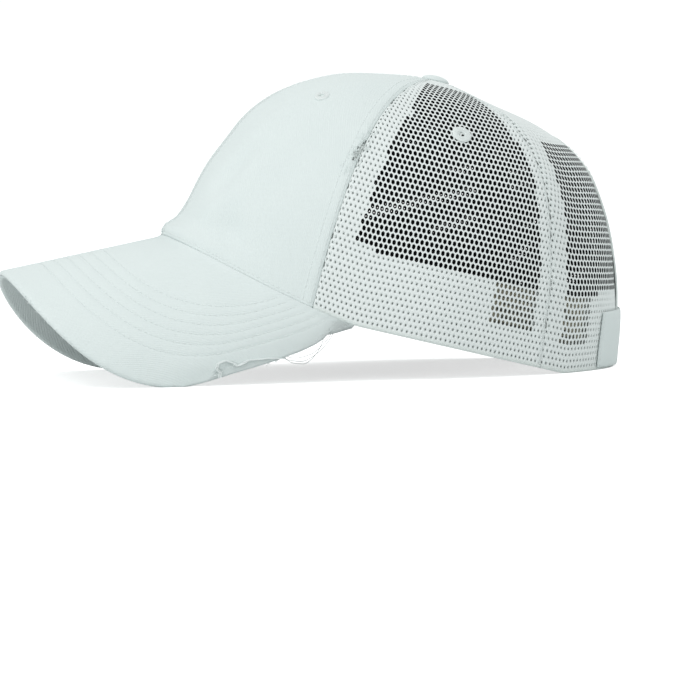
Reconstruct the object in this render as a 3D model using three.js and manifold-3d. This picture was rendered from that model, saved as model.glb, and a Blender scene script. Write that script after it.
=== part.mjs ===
// Ponytail baseball cap: washed cotton front, four mesh panels, arched peak, open back.
// Millimetres. The peak points along -Y, the wearer's left is +X, up is +Z, floor at z = 0.
import * as THREE from 'three';
import Module from 'manifold-3d';

const wasm = await Module();
wasm.setup();

// Crown sizes, in the frame of the hem plane
const RIM_HALF_LENGTH = 104;
const RIM_HALF_WIDTH = 76.5;
const RIM_EGG = 0.04;
const RIM_SQUARENESS = 0.92;
const APEX_Y = -1.1;
const CROWN_HEIGHT = 113.1;
const FRONT_LIFT = 20;
const LIFT_FALL = 1.25;
const HEM_PUFF = 0.022;
const PEAK_END = rad(75.8);
const REST_PITCH = rad(14.3);
const REST_FROM_Y = 71;
const REST_PRESS = 0.15;

// Seams around the rim, as angles from the front centre
const FRONT_SIDE_SEAM = rad(63.7);
const SIDE_BACK_SEAM = rad(123.9);
const BACK_CENTRE = Math.PI;
const CROWN_TOP = 0.972;

// Peak sizes, in the frame of its own ridge line
const PEAK_SLOPE = rad(24.8);
const PEAK_LENGTH = 73.9;
const ARCH_HALF_WIDTH = 69.5;
const ARCH_TAPER = 0.039;
const ARCH_DROP = 58.2;
const SIDE_TURN = rad(93.4);
const WIDEST_AT = 5;
const EDGE_SQUARENESS = 0.9;
const FRONT_EDGE_SHARE = 0.7;
const PEAK_REACH = 0.97;

// Cloth thicknesses and the gap left between sewn pieces
const TWILL = 1.2;
const MESH = 1.0;
const GAP = 0.3;
const TAPE = 1.0;
const LABEL = 1.0;
const BAND = 1.4;
const PLY = 1.6;
const ROOT_GAP = 0.45;

// Widths of the narrow pieces
const FRONT_TAPE_HALF = 11.5;
const BACK_TAPE_HALF = 9.5;
const BAND_HEIGHT = 33.5;
const LABEL_FOOT = 13;
const STRAP_HEIGHT = 24;
const BINDING_WIDTH = 5;

// Ponytail opening at the back
const OPENING_TOP = 0.7064;
const OPENING_SHOULDER = 0.45;
const OPENING_HALF_WIDTH = 19;

// Offsets below the outer face, in the order the layers lie
const TAPE_OUT = -(TWILL + GAP);
const TAPE_IN = TAPE_OUT - TAPE;
const LABEL_OUT = TAPE_IN - GAP;
const LABEL_IN = LABEL_OUT - LABEL;
const BAND_OUT = LABEL_IN - GAP;
const BAND_IN = BAND_OUT - BAND;

// Crown profiles: share of the reach from the apex, share of the rise from the rim
const FRONT_PROFILE = [
  { reach: 1, rise: 0 },
  { reach: 0.949, rise: 0.125 },
  { reach: 0.903, rise: 0.3 },
  { reach: 0.843, rise: 0.47 },
  { reach: 0.763, rise: 0.64 },
  { reach: 0.627, rise: 0.8 },
  { reach: 0.442, rise: 0.91 },
  { reach: 0.222, rise: 0.975 },
  { reach: 0, rise: 1 },
];
const SIDE_PROFILE = [
  { reach: 1, rise: 0 },
  { reach: 0.99, rise: 0.16 },
  { reach: 0.965, rise: 0.32 },
  { reach: 0.915, rise: 0.48 },
  { reach: 0.83, rise: 0.64 },
  { reach: 0.7, rise: 0.78 },
  { reach: 0.5, rise: 0.9 },
  { reach: 0.26, rise: 0.97 },
  { reach: 0, rise: 1 },
];
const BACK_PROFILE = [
  { reach: 1, rise: 0 },
  { reach: 0.974, rise: 0.16 },
  { reach: 0.941, rise: 0.32 },
  { reach: 0.888, rise: 0.475 },
  { reach: 0.81, rise: 0.64 },
  { reach: 0.694, rise: 0.79 },
  { reach: 0.509, rise: 0.895 },
  { reach: 0.266, rise: 0.95 },
  { reach: 0, rise: 1 },
];

// Eyelets: angle around the crown, share of the way up, flange radius
const FRONT_EYELET = { angle: rad(34.5), up: 0.638, flange: 3.6 };
const SIDE_EYELET = { angle: rad(94.2), up: 0.65, flange: 4.6 };
const EYELET_TUBE = 2;
const EYELET_HOLE = 1.1;

// Colours of the cloths
const COLOURS = {
  twill: 0xe9efed,
  net: 0xe4ebea,
  tape: 0xe6e9e6,
  band: 0xd9dddb,
  button: 0xe9efed,
  thread: 0xeef2f0,
  hook: 0xdcdedc,
  label: 0xc9c2aa,
};

function rad(degrees) {
  return degrees * Math.PI / 180;
}

function clamp(value, low, high) {
  return Math.min(high, Math.max(low, value));
}

function mix(a, b, share) {
  return a + (b - a) * share;
}

function smooth(share) {
  const s = clamp(share, 0, 1);
  return s * s * (3 - 2 * s);
}

// Numbers from one end to the other in equal steps
function steps(from, to, count) {
  return Array.from({ length: count + 1 }, (_, i) => mix(from, to, i / count));
}

// A smooth curve through the rows of a profile, level where it reaches the apex
function profileAt(profile, up) {
  const last = profile.length - 1;
  const place = clamp(up, 0, 1) * last;
  const i = Math.min(Math.floor(place), last - 1);
  const f = place - i;
  const b = profile[i];
  const c = profile[i + 1];
  const a = i > 0 ? profile[i - 1] : { reach: 2 * b.reach - c.reach, rise: 2 * b.rise - c.rise };
  const d = i < last - 1 ? profile[i + 2] : { reach: -b.reach, rise: b.rise };
  const blend = (key) => 0.5 * (2 * b[key] + (c[key] - a[key]) * f
    + (2 * a[key] - 5 * b[key] + 4 * c[key] - d[key]) * f * f
    + (3 * b[key] - a[key] - 3 * c[key] + d[key]) * f * f * f);
  return { reach: blend('reach'), rise: blend('rise') };
}

function wrap(angle) {
  return Math.abs(Math.atan2(Math.sin(angle), Math.cos(angle)));
}

// Height of the hem: lifted over the peak, level with the floor at the back
function hemHeight(angle, y) {
  const away = wrap(angle);
  const lift = away < PEAK_END ? FRONT_LIFT * Math.cos(Math.PI / 2 * away / PEAK_END) ** LIFT_FALL : 0;
  return lift + Math.max(0, y - REST_FROM_Y) * Math.tan(REST_PITCH);
}

function rimAt(angle) {
  const sine = Math.sin(angle);
  const across = Math.sign(sine) * Math.abs(sine) ** RIM_SQUARENESS;
  const x = RIM_HALF_WIDTH * across * (1 - RIM_EGG * Math.cos(angle));
  const y = -RIM_HALF_LENGTH * Math.cos(angle);
  return new THREE.Vector3(x, y, hemHeight(angle, y));
}

// Outer face of the crown: angle from the front centre, share of the way up to the apex
function crownPoint(angle, up) {
  const rim = rimAt(angle);
  const c = Math.cos(angle);
  const front = c > 0 ? c * c : 0;
  const back = c < 0 ? c * c : 0;
  const side = 1 - c * c;
  const f = profileAt(FRONT_PROFILE, up);
  const s = profileAt(SIDE_PROFILE, up);
  const b = profileAt(BACK_PROFILE, up);
  const puff = HEM_PUFF * front * front * Math.exp(-(((up - 0.045) / 0.04) ** 2));
  const reach = front * f.reach + side * s.reach + back * b.reach + puff;
  const rise = front * f.rise + side * s.rise + back * b.rise;
  return new THREE.Vector3(
    rim.x * reach,
    APEX_Y + (rim.y - APEX_Y) * reach,
    rim.z + (CROWN_HEIGHT - rim.z) * rise,
  );
}

function crownNormal(angle, up) {
  const u = clamp(up, 0.004, 0.985);
  const around = crownPoint(angle + 0.01, u).sub(crownPoint(angle - 0.01, u));
  const along = crownPoint(angle, u + 0.004).sub(crownPoint(angle, u - 0.004));
  return around.cross(along).normalize();
}

// A point of the crown, moved off its outer face; at the hem it stays level through the cloth
function crownAt(angle, up, offset) {
  const point = crownPoint(angle, up).addScaledVector(crownNormal(angle, up), offset);
  if (up === 0) point.z = hemHeight(angle, point.y);
  return point;
}

// Share of the way up at which the wall stands a given height above the rim
function upAtHeight(angle, height) {
  const base = rimAt(angle).z;
  let low = 0;
  let high = 0.6;
  for (let i = 0; i < 24; i += 1) {
    const middle = (low + high) / 2;
    if (crownPoint(angle, middle).z - base < height) low = middle;
    else high = middle;
  }
  return (low + high) / 2;
}

// Length of crown for each radian of angle
function lengthPerRadian(angle, up) {
  return crownPoint(angle + 0.005, up).distanceTo(crownPoint(angle - 0.005, up)) / 0.01;
}

// Half the width of the ponytail opening at a share of the way up
function openingHalfWidth(up) {
  if (up >= OPENING_TOP) return GAP / 2;
  if (up <= OPENING_SHOULDER) return OPENING_HALF_WIDTH;
  const rise = (up - OPENING_SHOULDER) / (OPENING_TOP - OPENING_SHOULDER);
  return Math.max(GAP / 2, OPENING_HALF_WIDTH * Math.sqrt(1 - rise * rise));
}

// Angle at which the crown is as far to the side as the edge of the opening
function openingAngle(up) {
  const width = openingHalfWidth(up);
  let low = rad(150);
  let high = BACK_CENTRE;
  for (let i = 0; i < 26; i += 1) {
    const middle = (low + high) / 2;
    if (crownPoint(middle, up).x > width) low = middle;
    else high = middle;
  }
  return (low + high) / 2;
}

// Peak surface in its own frame: along the ridge, and around the arch
function archHalfWidth(along) {
  return ARCH_HALF_WIDTH - ARCH_TAPER * along;
}

function archPoint(along, turn) {
  const drop = -ARCH_DROP * (1 - Math.cos(turn));
  return new THREE.Vector3(
    archHalfWidth(along) * Math.sin(turn),
    -RIM_HALF_LENGTH - Math.cos(PEAK_SLOPE) * along - Math.sin(PEAK_SLOPE) * drop,
    FRONT_LIFT - Math.sin(PEAK_SLOPE) * along + Math.cos(PEAK_SLOPE) * drop,
  );
}

function archPlace(point) {
  let along = 0;
  let turn = 0;
  for (let i = 0; i < 10; i += 1) {
    turn = Math.asin(clamp(point.x / archHalfWidth(along), -1, 1));
    const drop = -ARCH_DROP * (1 - Math.cos(turn));
    along = (-(point.y + RIM_HALF_LENGTH) - Math.sin(PEAK_SLOPE) * drop) / Math.cos(PEAK_SLOPE);
  }
  return { along, turn };
}

// Peak surface: across from -1 to 1 along the joint, out from 0 at the joint to 1 at the edge
function peakPoint(across, out) {
  const side = across < 0 ? -1 : 1;
  const q = Math.abs(across);
  const root = rimAt(q * PEAK_END);
  const place = archPlace(root);
  const miss = root.clone().sub(archPoint(place.along, place.turn));
  const end = archPlace(rimAt(PEAK_END));
  const swing = clamp(q / FRONT_EDGE_SHARE, 0, 1) * Math.PI / 2;
  const rear = clamp((q - FRONT_EDGE_SHARE) / (1 - FRONT_EDGE_SHARE), 0, 1);
  const forward = Math.max(0, Math.cos(swing)) ** EDGE_SQUARENESS;
  const aside = Math.sin(swing) ** EDGE_SQUARENESS;
  const edgeAlong = WIDEST_AT + (PEAK_LENGTH - WIDEST_AT) * forward - (WIDEST_AT - end.along) * rear;
  const edgeTurn = SIDE_TURN * aside - (SIDE_TURN - end.turn) * rear * rear;
  const w = clamp(out, 0, 1);
  const point = archPoint(mix(place.along, edgeAlong, w), mix(place.turn, edgeTurn, w));
  const share = (1 - w) + w * rear * rear;
  point.addScaledVector(miss, share);
  point.x *= side;
  return point;
}

function peakNormal(across, out) {
  const a = clamp(across, -0.97, 0.97);
  const w = clamp(out, 0.03, 0.97);
  const around = peakPoint(a + 0.01, w).sub(peakPoint(a - 0.01, w));
  const along = peakPoint(a, w + 0.02).sub(peakPoint(a, w - 0.02));
  return along.cross(around).normalize();
}

// How much of the peak's root is tucked in under the crown: all of it at the front, little at the sides
function tuckShare(across) {
  return Math.max(0.12, clamp(peakNormal(across, 0).z, 0, 1) ** 2);
}

// The peak with its tucked root: out below 0 runs level, in under the crown
function peakAt(across, out, offset) {
  const normal = peakNormal(across, out);
  if (out > 0) return peakPoint(across, out).addScaledVector(normal, offset);
  const angle = across * PEAK_END;
  const tuck = tuckShare(across);
  const inward = crownNormal(angle, 0).setZ(0).normalize().multiplyScalar(-1);
  const level = new THREE.Vector3(0, 0, 1);
  const lean = out < 0 ? normal.clone().multiplyScalar(1 - tuck).addScaledVector(level, tuck)
    : normal.clone().addScaledVector(level, tuck);
  lean.normalize();
  const reach = out < 0 ? tuck * (-BAND_OUT - GAP) : 0;
  return rimAt(angle).addScaledVector(inward, reach).addScaledVector(lean, offset);
}

// Solid between two faces of a grid, with whole cells left open where asked
function gridShell(columns, rows, at, isOpen = () => false) {
  const nx = columns.length;
  const ny = rows.length;
  const points = [];
  for (const face of [0, 1]) {
    for (let i = 0; i < nx; i += 1) {
      for (let j = 0; j < ny; j += 1) points.push(at(i, j, face));
    }
  }
  const index = (i, j, face) => face * nx * ny + i * ny + j;
  const kept = (i, j) => i >= 0 && j >= 0 && i < nx - 1 && j < ny - 1 && !isOpen(i, j);
  const faces = [];
  const quad = (a, b, c, d) => faces.push([a, b, c], [a, c, d]);
  for (let i = 0; i < nx - 1; i += 1) {
    for (let j = 0; j < ny - 1; j += 1) {
      if (!kept(i, j)) continue;
      const corners = [[i, j], [i + 1, j], [i + 1, j + 1], [i, j + 1]];
      const outer = corners.map(([a, b]) => index(a, b, 0));
      const inner = corners.map(([a, b]) => index(a, b, 1));
      quad(...outer);
      faces.push([inner[0], inner[2], inner[1]], [inner[0], inner[3], inner[2]]);
      const beside = [kept(i, j - 1), kept(i + 1, j), kept(i, j + 1), kept(i - 1, j)];
      beside.forEach((closed, k) => {
        const n = (k + 1) % 4;
        if (!closed) quad(outer[k], inner[k], inner[n], outer[n]);
      });
    }
  }
  return { points, faces };
}

// Solid swept through a list of equal rings; closed in a loop, or capped at both ends
function ringSweep(rings, section, closed = false) {
  const size = rings[0].length;
  const points = rings.flat();
  const faces = [];
  const count = closed ? rings.length : rings.length - 1;
  for (let i = 0; i < count; i += 1) {
    const next = (i + 1) % rings.length;
    for (let k = 0; k < size; k += 1) {
      const m = (k + 1) % size;
      const a = i * size + k;
      const b = i * size + m;
      const c = next * size + m;
      const d = next * size + k;
      faces.push([a, b, c], [a, c, d]);
    }
  }
  if (!closed) {
    const flat = section.map(([x, y]) => new THREE.Vector2(x, y));
    const turn = Math.sign(THREE.ShapeUtils.area(flat));
    const far = (rings.length - 1) * size;
    for (const corners of THREE.ShapeUtils.triangulateShape(flat, [])) {
      const same = Math.sign(THREE.ShapeUtils.area(corners.map((k) => flat[k]))) === turn;
      const [a, b, c] = same ? corners : [...corners].reverse();
      faces.push([a, c, b], [far + a, far + b, far + c]);
    }
  }
  return { points, faces };
}

// Turns the solid inside out when its volume comes out negative
function facingOut(solid) {
  let volume = 0;
  for (const [a, b, c] of solid.faces) {
    volume += solid.points[a].dot(solid.points[b].clone().cross(solid.points[c]));
  }
  if (volume < 0) solid.faces = solid.faces.map(([a, b, c]) => [a, c, b]);
  return solid;
}

// The same solid on the wearer's right
function mirrored(solid) {
  return {
    points: solid.points.map((p) => new THREE.Vector3(-p.x, p.y, p.z)),
    faces: solid.faces.map(([a, b, c]) => [a, c, b]),
  };
}

function toManifold(solid) {
  const used = new Map();
  const vertices = [];
  const triangles = [];
  for (const face of solid.faces) {
    for (const k of face) {
      if (!used.has(k)) {
        used.set(k, used.size);
        vertices.push(...solid.points[k].toArray());
      }
      triangles.push(used.get(k));
    }
  }
  return new wasm.Manifold(new wasm.Mesh({
    numProp: 3,
    vertProperties: new Float32Array(vertices),
    triVerts: new Uint32Array(triangles),
  }));
}

function fromManifold(body) {
  const mesh = body.getMesh();
  const points = [];
  const faces = [];
  for (let i = 0; i < mesh.numVert; i += 1) {
    points.push(new THREE.Vector3(...mesh.vertProperties.slice(i * mesh.numProp, i * mesh.numProp + 3)));
  }
  for (let i = 0; i < mesh.numTri; i += 1) faces.push([...mesh.triVerts.slice(i * 3, i * 3 + 3)]);
  return { points, faces };
}

// Round solid about an axis: rows of radius and height, both ends on the axis or the loop closed
function turned(profile, centre, axis, sides, closed) {
  const z = axis.clone().normalize();
  const x = new THREE.Vector3(0, 1, 0).cross(z).normalize();
  const y = z.clone().cross(x);
  const place = (r, h, angle) => centre.clone().addScaledVector(z, h)
    .addScaledVector(x, r * Math.cos(angle)).addScaledVector(y, r * Math.sin(angle));
  if (closed) {
    const rings = steps(0, 2 * Math.PI, sides).slice(0, sides)
      .map((angle) => profile.map(({ radius, height }) => place(radius, height, angle)));
    return facingOut(ringSweep(rings, [], true));
  }
  const middle = profile.slice(1, -1);
  const points = [place(0, profile[0].height, 0), place(0, profile.at(-1).height, 0)];
  const faces = [];
  for (const { radius, height } of middle) {
    for (let k = 0; k < sides; k += 1) points.push(place(radius, height, 2 * Math.PI * k / sides));
  }
  const at = (row, k) => 2 + row * sides + (k % sides);
  for (let k = 0; k < sides; k += 1) {
    faces.push([0, at(0, k + 1), at(0, k)]);
    for (let row = 0; row < middle.length - 1; row += 1) {
      faces.push([at(row, k), at(row, k + 1), at(row + 1, k + 1)]);
      faces.push([at(row, k), at(row + 1, k + 1), at(row + 1, k)]);
    }
    faces.push([1, at(middle.length - 1, k), at(middle.length - 1, k + 1)]);
  }
  return facingOut({ points, faces });
}

// Panel kinds: seams, tape widths at each side, net window counts
const PANELS = {
  front: { from: 0, to: FRONT_SIDE_SEAM, thick: TWILL, fromTape: 7, toTape: 8, windows: 0, cells: 8 },
  side: {
    from: FRONT_SIDE_SEAM, to: SIDE_BACK_SEAM, thick: MESH,
    fromTape: FRONT_TAPE_HALF, toTape: BACK_TAPE_HALF, windows: 6, cells: 0,
  },
  back: {
    from: SIDE_BACK_SEAM, to: BACK_CENTRE, thick: MESH,
    fromTape: BACK_TAPE_HALF, toTape: 8, windows: 4, cells: 0,
  },
};

// Rows up the crown, shared by every panel: hem rows, net windows and the bars between them, top rows
const HEM_ROWS = [0, 0.05, 0.12, 0.2];
const TOP_ROWS = [0.93, CROWN_TOP];
const WINDOW_ROWS = windowRows(0.26, 0.88, 5, 0.6);
const CROWN_ROWS = [
  ...HEM_ROWS.map((up) => ({ up, open: false })),
  ...WINDOW_ROWS,
  ...TOP_ROWS.map((up) => ({ up, open: false })),
];
// The back panels take one more row, near the top of the opening
const BACK_ROWS = [...CROWN_ROWS, { up: 0.69, open: true }].sort((a, b) => a.up - b.up);

function windowRows(from, to, count, openShare) {
  const pitch = (to - from) / count;
  const rows = [];
  for (let k = 0; k < count; k += 1) {
    rows.push({ up: from + pitch * k, open: true });
    rows.push({ up: from + pitch * (k + openShare), open: false });
  }
  rows.push({ up: to, open: false });
  return rows;
}

function panelEnd(panel, up) {
  return panel === PANELS.back ? openingAngle(up) : panel.to - GAP / 2 / lengthPerRadian(panel.to, up);
}

// Angles of a panel's grid lines at one height: seam, tape edge, windows, tape edge, seam
function panelColumns(panel, up) {
  const start = panel.from + GAP / 2 / lengthPerRadian(Math.max(panel.from, 0.01), up);
  const end = panelEnd(panel, up);
  const width = (end - start) * lengthPerRadian((start + end) / 2, up);
  const first = Math.min(0.3, panel.fromTape / width);
  const last = 1 - Math.min(0.3, panel.toTape / width);
  const inner = panel.windows > 0 ? barShares(panel.windows) : steps(0, 1, panel.cells);
  return [0, ...inner.map((share) => mix(first, last, share)), 1].map((share) => mix(start, end, share));
}

// Window edges across a panel as shares, a window then a bar
function barShares(count) {
  const shares = [];
  const pitch = 1 / (count - 0.4);
  for (let k = 0; k < count; k += 1) shares.push(k * pitch, (k + 0.6) * pitch);
  return shares;
}

function buildPanel(panel) {
  const rows = panel === PANELS.back ? BACK_ROWS : CROWN_ROWS;
  const table = rows.map(({ up }) => panelColumns(panel, up));
  const columns = table[0];
  const isOpen = (i, j) => {
    if (panel.windows === 0 || !rows[j].open || i < 1 || i % 2 === 0 || i >= columns.length - 2) return false;
    const middle = crownPoint((table[j][i] + table[j][i + 1]) / 2, (rows[j].up + rows[j + 1].up) / 2);
    return middle.distanceTo(crownPoint(SIDE_EYELET.angle, SIDE_EYELET.up)) > 11;
  };
  const at = (i, j, face) => crownAt(table[j][i], rows[j].up, face === 0 ? 0 : -panel.thick);
  return facingOut(gridShell(columns, rows, at, isOpen));
}

function drilled(solid, eyelet) {
  const centre = crownPoint(eyelet.angle, eyelet.up);
  const axis = crownNormal(eyelet.angle, eyelet.up);
  const drill = turned([
    { radius: 0, height: -4 },
    { radius: EYELET_TUBE + GAP, height: -4 },
    { radius: EYELET_TUBE + GAP, height: 4 },
    { radius: 0, height: 4 },
  ], centre, axis, 12, false);
  return fromManifold(toManifold(solid).subtract(toManifold(drill)));
}

function buildEyelet(eyelet, thick) {
  const centre = crownPoint(eyelet.angle, eyelet.up);
  const axis = crownNormal(eyelet.angle, eyelet.up);
  const below = -thick - 2 * GAP;
  return turned([
    { radius: EYELET_HOLE, height: 0.9 },
    { radius: eyelet.flange * 0.6, height: 1.2 },
    { radius: eyelet.flange, height: 0.6 },
    { radius: eyelet.flange, height: GAP },
    { radius: EYELET_TUBE, height: GAP },
    { radius: EYELET_TUBE, height: below },
    { radius: eyelet.flange * 0.8, height: below },
    { radius: eyelet.flange * 0.8, height: below - 0.7 },
    { radius: EYELET_HOLE, height: below - 0.7 },
  ], centre, axis, 10, true);
}

// Tape sewn behind a seam between two panels, on the grid lines of both
function buildSeamTape(left, right, rows) {
  const table = rows.map((up) => {
    const before = panelColumns(left, up);
    const after = panelColumns(right, up);
    return [before.at(-2), before.at(-1), after[0], after[1]];
  });
  const at = (i, j, face) => crownAt(table[j][i], rows[j], face === 0 ? TAPE_OUT : TAPE_IN);
  return facingOut(gridShell([0, 1, 2, 3], rows, at));
}

function centreTape(panel, rows, column, seamAngle) {
  const table = rows.map((up) => {
    const shares = panelColumns(panel, up);
    const away = Math.abs(shares.at(column) - seamAngle);
    return [seamAngle - away, seamAngle, seamAngle + away];
  });
  const at = (i, j, face) => crownAt(table[j][i], rows[j], face === 0 ? TAPE_OUT : TAPE_IN);
  return facingOut(gridShell([0, 1, 2], rows, at));
}

// Rows that the tapes share with the panels, from just above the band's foot to the crown's top
function tapeRows(from, to) {
  const all = CROWN_ROWS.map((row) => row.up);
  return [from, ...all.filter((up) => up > from + 0.01 && up < to - 0.01), to];
}

// Angles of the panels' grid lines along the hem, from one side of the opening to the other
function bandAngles() {
  const half = [
    ...panelColumns(PANELS.front, 0).slice(1, -1),
    FRONT_SIDE_SEAM,
    ...panelColumns(PANELS.side, 0).slice(1, -1),
    SIDE_BACK_SEAM,
    ...panelColumns(PANELS.back, 0).slice(1, -1),
    openingAngle(0) - 4 / RIM_HALF_WIDTH,
  ];
  return [...half.map((angle) => -angle).reverse(), 0, ...half];
}

// Sweatband: a strip behind the lower crown, with a foot turned out at the hem
function buildBand() {
  const rings = [];
  for (const angle of bandAngles()) {
    const across = angle / PEAK_END;
    const below = 0.15 + (Math.abs(across) < 1 ? tuckShare(across) * (2 * PLY + ROOT_GAP + GAP) : 0);
    const wall = (offset, height) => crownAt(angle, upAtHeight(angle, height), offset);
    const turn = (offset, share) => crownAt(angle, 0, offset)
      .lerp(crownAt(angle, HEM_ROWS[1], offset), share);
    const foot = (offset, height) => {
      const point = crownAt(angle, 0, offset);
      point.z += height;
      return point;
    };
    rings.push([
      foot(BAND_IN, -below),
      wall(BAND_IN, 12),
      wall(BAND_IN, BAND_HEIGHT),
      wall(BAND_OUT, BAND_HEIGHT),
      wall(BAND_OUT, 12),
      turn(BAND_OUT, 0.5),
      turn(-TWILL - GAP, 0.5),
      turn(-TWILL - GAP, 0.07),
      foot(BAND_OUT, 0.3),
      foot(BAND_OUT, -below),
    ]);
  }
  const section = [
    [0, -1], [-0.1, 12], [0, BAND_HEIGHT], [1, BAND_HEIGHT], [0.9, 12],
    [1, 2.2], [4, 2.2], [4, 0.25], [1, 0.25], [1, -1],
  ];
  return facingOut(ringSweep(rings, section));
}

// One ply of the peak between two depths below its top face
function buildPly(top, bottom) {
  const columns = steps(-PEAK_REACH, PEAK_REACH, 24);
  const rows = [-1, 0, 0.12, 0.3, 0.5, 0.7, 0.86, 1];
  const at = (i, j, face) => peakAt(columns[i], rows[j], face === 0 ? -top : -bottom);
  return facingOut(gridShell(columns, rows, at));
}

function buildButton() {
  const centre = crownPoint(0, 1);
  const below = TAPE_IN - GAP;
  return turned([
    { radius: 0, height: 2.4 },
    { radius: 2.6, height: 2.25 },
    { radius: 4.9, height: 1.6 },
    { radius: 6.1, height: 0.8 },
    { radius: 5.9, height: 0.35 },
    { radius: 2, height: 0.35 },
    { radius: 2, height: below },
    { radius: 4.6, height: below },
    { radius: 4.6, height: below - 0.9 },
    { radius: 0, height: below - 0.9 },
  ], centre, new THREE.Vector3(0, 0, 1), 20, false);
}

// Points along the bound edge of the opening, from the left side over the top to the right
function openingPath() {
  const ups = [0.28, ...BACK_ROWS.map((row) => row.up).filter((up) => up > 0.28 && up < OPENING_TOP - 0.01)];
  const left = ups.map((up) => ({ up, angle: openingAngle(up) }));
  const right = left.map(({ up, angle }) => ({ up, angle: 2 * BACK_CENTRE - angle })).reverse();
  return [...left, { up: OPENING_TOP, angle: BACK_CENTRE }, ...right];
}

// Binding folded over the edge of the opening
function buildBinding() {
  const path = openingPath();
  const section = [
    { into: BINDING_WIDTH, offset: GAP },
    { into: BINDING_WIDTH, offset: 1.1 },
    { into: -1.1, offset: 1.1 },
    { into: -1.1, offset: TAPE_OUT - 0.8 },
    { into: BINDING_WIDTH, offset: TAPE_OUT - 0.8 },
    { into: BINDING_WIDTH, offset: TAPE_OUT + 0.2 },
    { into: -GAP, offset: TAPE_OUT + 0.2 },
    { into: -GAP, offset: GAP },
  ];
  const rings = path.map(({ up, angle }, i) => {
    const before = path[Math.max(0, i - 1)];
    const after = path[Math.min(path.length - 1, i + 1)];
    const tangent = crownPoint(after.angle, after.up).sub(crownPoint(before.angle, before.up)).normalize();
    const normal = crownNormal(angle, up);
    const into = normal.clone().cross(tangent).normalize();
    const centre = crownPoint(BACK_CENTRE, 0.4);
    if (into.dot(centre.clone().sub(crownPoint(angle, up))) > 0) into.multiplyScalar(-1);
    return section.map((corner) => nearby(angle, up, into, corner.into, corner.offset));
  });
  return facingOut(ringSweep(rings, section.map((corner) => [corner.into, corner.offset])));
}

// The crown point reached by walking a short way over the surface, then off it
function nearby(angle, up, direction, distance, offset) {
  const around = crownPoint(angle + 0.005, up).sub(crownPoint(angle - 0.005, up)).multiplyScalar(100);
  const along = crownPoint(angle, up + 0.005).sub(crownPoint(angle, up - 0.005)).multiplyScalar(100);
  const aa = around.dot(around);
  const bb = along.dot(along);
  const ab = around.dot(along);
  const da = around.dot(direction) * distance;
  const db = along.dot(direction) * distance;
  const det = aa * bb - ab * ab;
  return crownAt(angle + (da * bb - db * ab) / det, up + (db * aa - da * ab) / det, offset);
}

// Closure: a strap sewn on the left back panel that crosses the opening to the right one
const STRAP_FROM = rad(148);
const STRAP_TO = rad(360 - 143);
const LOOP_FROM = rad(360 - 163);
const LOOP_TO = rad(360 - 142);
const HOOK_FROM = rad(360 - 162);
const HOOK_TO = rad(360 - 144.5);

function heightStrip(angles, heights, outer, inner) {
  const at = (i, j, face) => {
    const angle = angles[i];
    const offset = (face === 0 ? outer : inner)(angle);
    return crownAt(angle, upAtHeight(angle, heights[j]), offset);
  };
  return facingOut(gridShell(angles, heights, at));
}

function strapLift(angle) {
  return mix(GAP, 2.5, smooth((angle - rad(168)) / rad(26)));
}

function buildStrap() {
  const angles = steps(STRAP_FROM, STRAP_TO, 20);
  const heights = steps(1.2, 1.2 + STRAP_HEIGHT, 3);
  return heightStrip(angles, heights, (a) => strapLift(a) + 1.2, strapLift);
}

function buildLoopPatch() {
  return heightStrip(steps(LOOP_FROM, LOOP_TO, 7), steps(2.5, STRAP_HEIGHT, 2), () => 1.1, () => GAP);
}

function buildHookPatch() {
  return heightStrip(steps(HOOK_FROM, HOOK_TO, 6), steps(3, STRAP_HEIGHT - 0.5, 2), () => 2.2, () => 1.4);
}

function buildLabel() {
  const angles = steps(rad(107), rad(140.7), 8);
  return heightStrip(angles, steps(LABEL_FOOT, BAND_HEIGHT, 3), () => LABEL_OUT, () => LABEL_IN);
}

const cap = new THREE.Group();
cap.name = 'ponytail_cap';
const tilt = new THREE.Matrix4().makeRotationX(-REST_PITCH);

function addPiece(name, solid, cloth) {
  const used = new Map();
  const vertices = [];
  const index = [];
  for (const face of solid.faces) {
    for (const k of face) {
      if (!used.has(k)) {
        used.set(k, used.size);
        vertices.push(...solid.points[k].clone().applyMatrix4(tilt).toArray());
      }
      index.push(used.get(k));
    }
  }
  const geometry = new THREE.BufferGeometry();
  geometry.setAttribute('position', new THREE.Float32BufferAttribute(vertices, 3));
  geometry.setIndex(index);
  geometry.computeVertexNormals();
  const material = new THREE.MeshStandardMaterial({ color: COLOURS[cloth], roughness: 0.9, metalness: 0 });
  material.name = cloth;
  const mesh = new THREE.Mesh(geometry, material);
  mesh.name = name;
  cap.add(mesh);
}

function addPair(name, solid, cloth) {
  addPiece(`${name}_left`, solid, cloth);
  addPiece(`${name}_right`, mirrored(solid), cloth);
}

addPair('front_panel', drilled(buildPanel(PANELS.front), FRONT_EYELET), 'twill');
addPair('side_mesh', drilled(buildPanel(PANELS.side), SIDE_EYELET), 'net');
addPair('back_mesh', buildPanel(PANELS.back), 'net');
addPair('eyelet_front', buildEyelet(FRONT_EYELET, TWILL), 'thread');
addPair('eyelet_side', buildEyelet(SIDE_EYELET, MESH), 'thread');
addPair('seam_tape_front', buildSeamTape(PANELS.front, PANELS.side, tapeRows(HEM_ROWS[1], 0.93)), 'tape');
addPair('seam_tape_back', buildSeamTape(PANELS.side, PANELS.back, tapeRows(HEM_ROWS[1], 0.93)), 'tape');
addPiece('centre_tape_front', centreTape(PANELS.front, tapeRows(HEM_ROWS[1], 0.93), 1, 0), 'tape');
const CENTRE_BACK_ROWS = tapeRows(OPENING_TOP + 0.06, 0.93);
addPiece('centre_tape_back', centreTape(PANELS.back, CENTRE_BACK_ROWS, -2, BACK_CENTRE), 'tape');
addPiece('sweatband', buildBand(), 'band');
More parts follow.
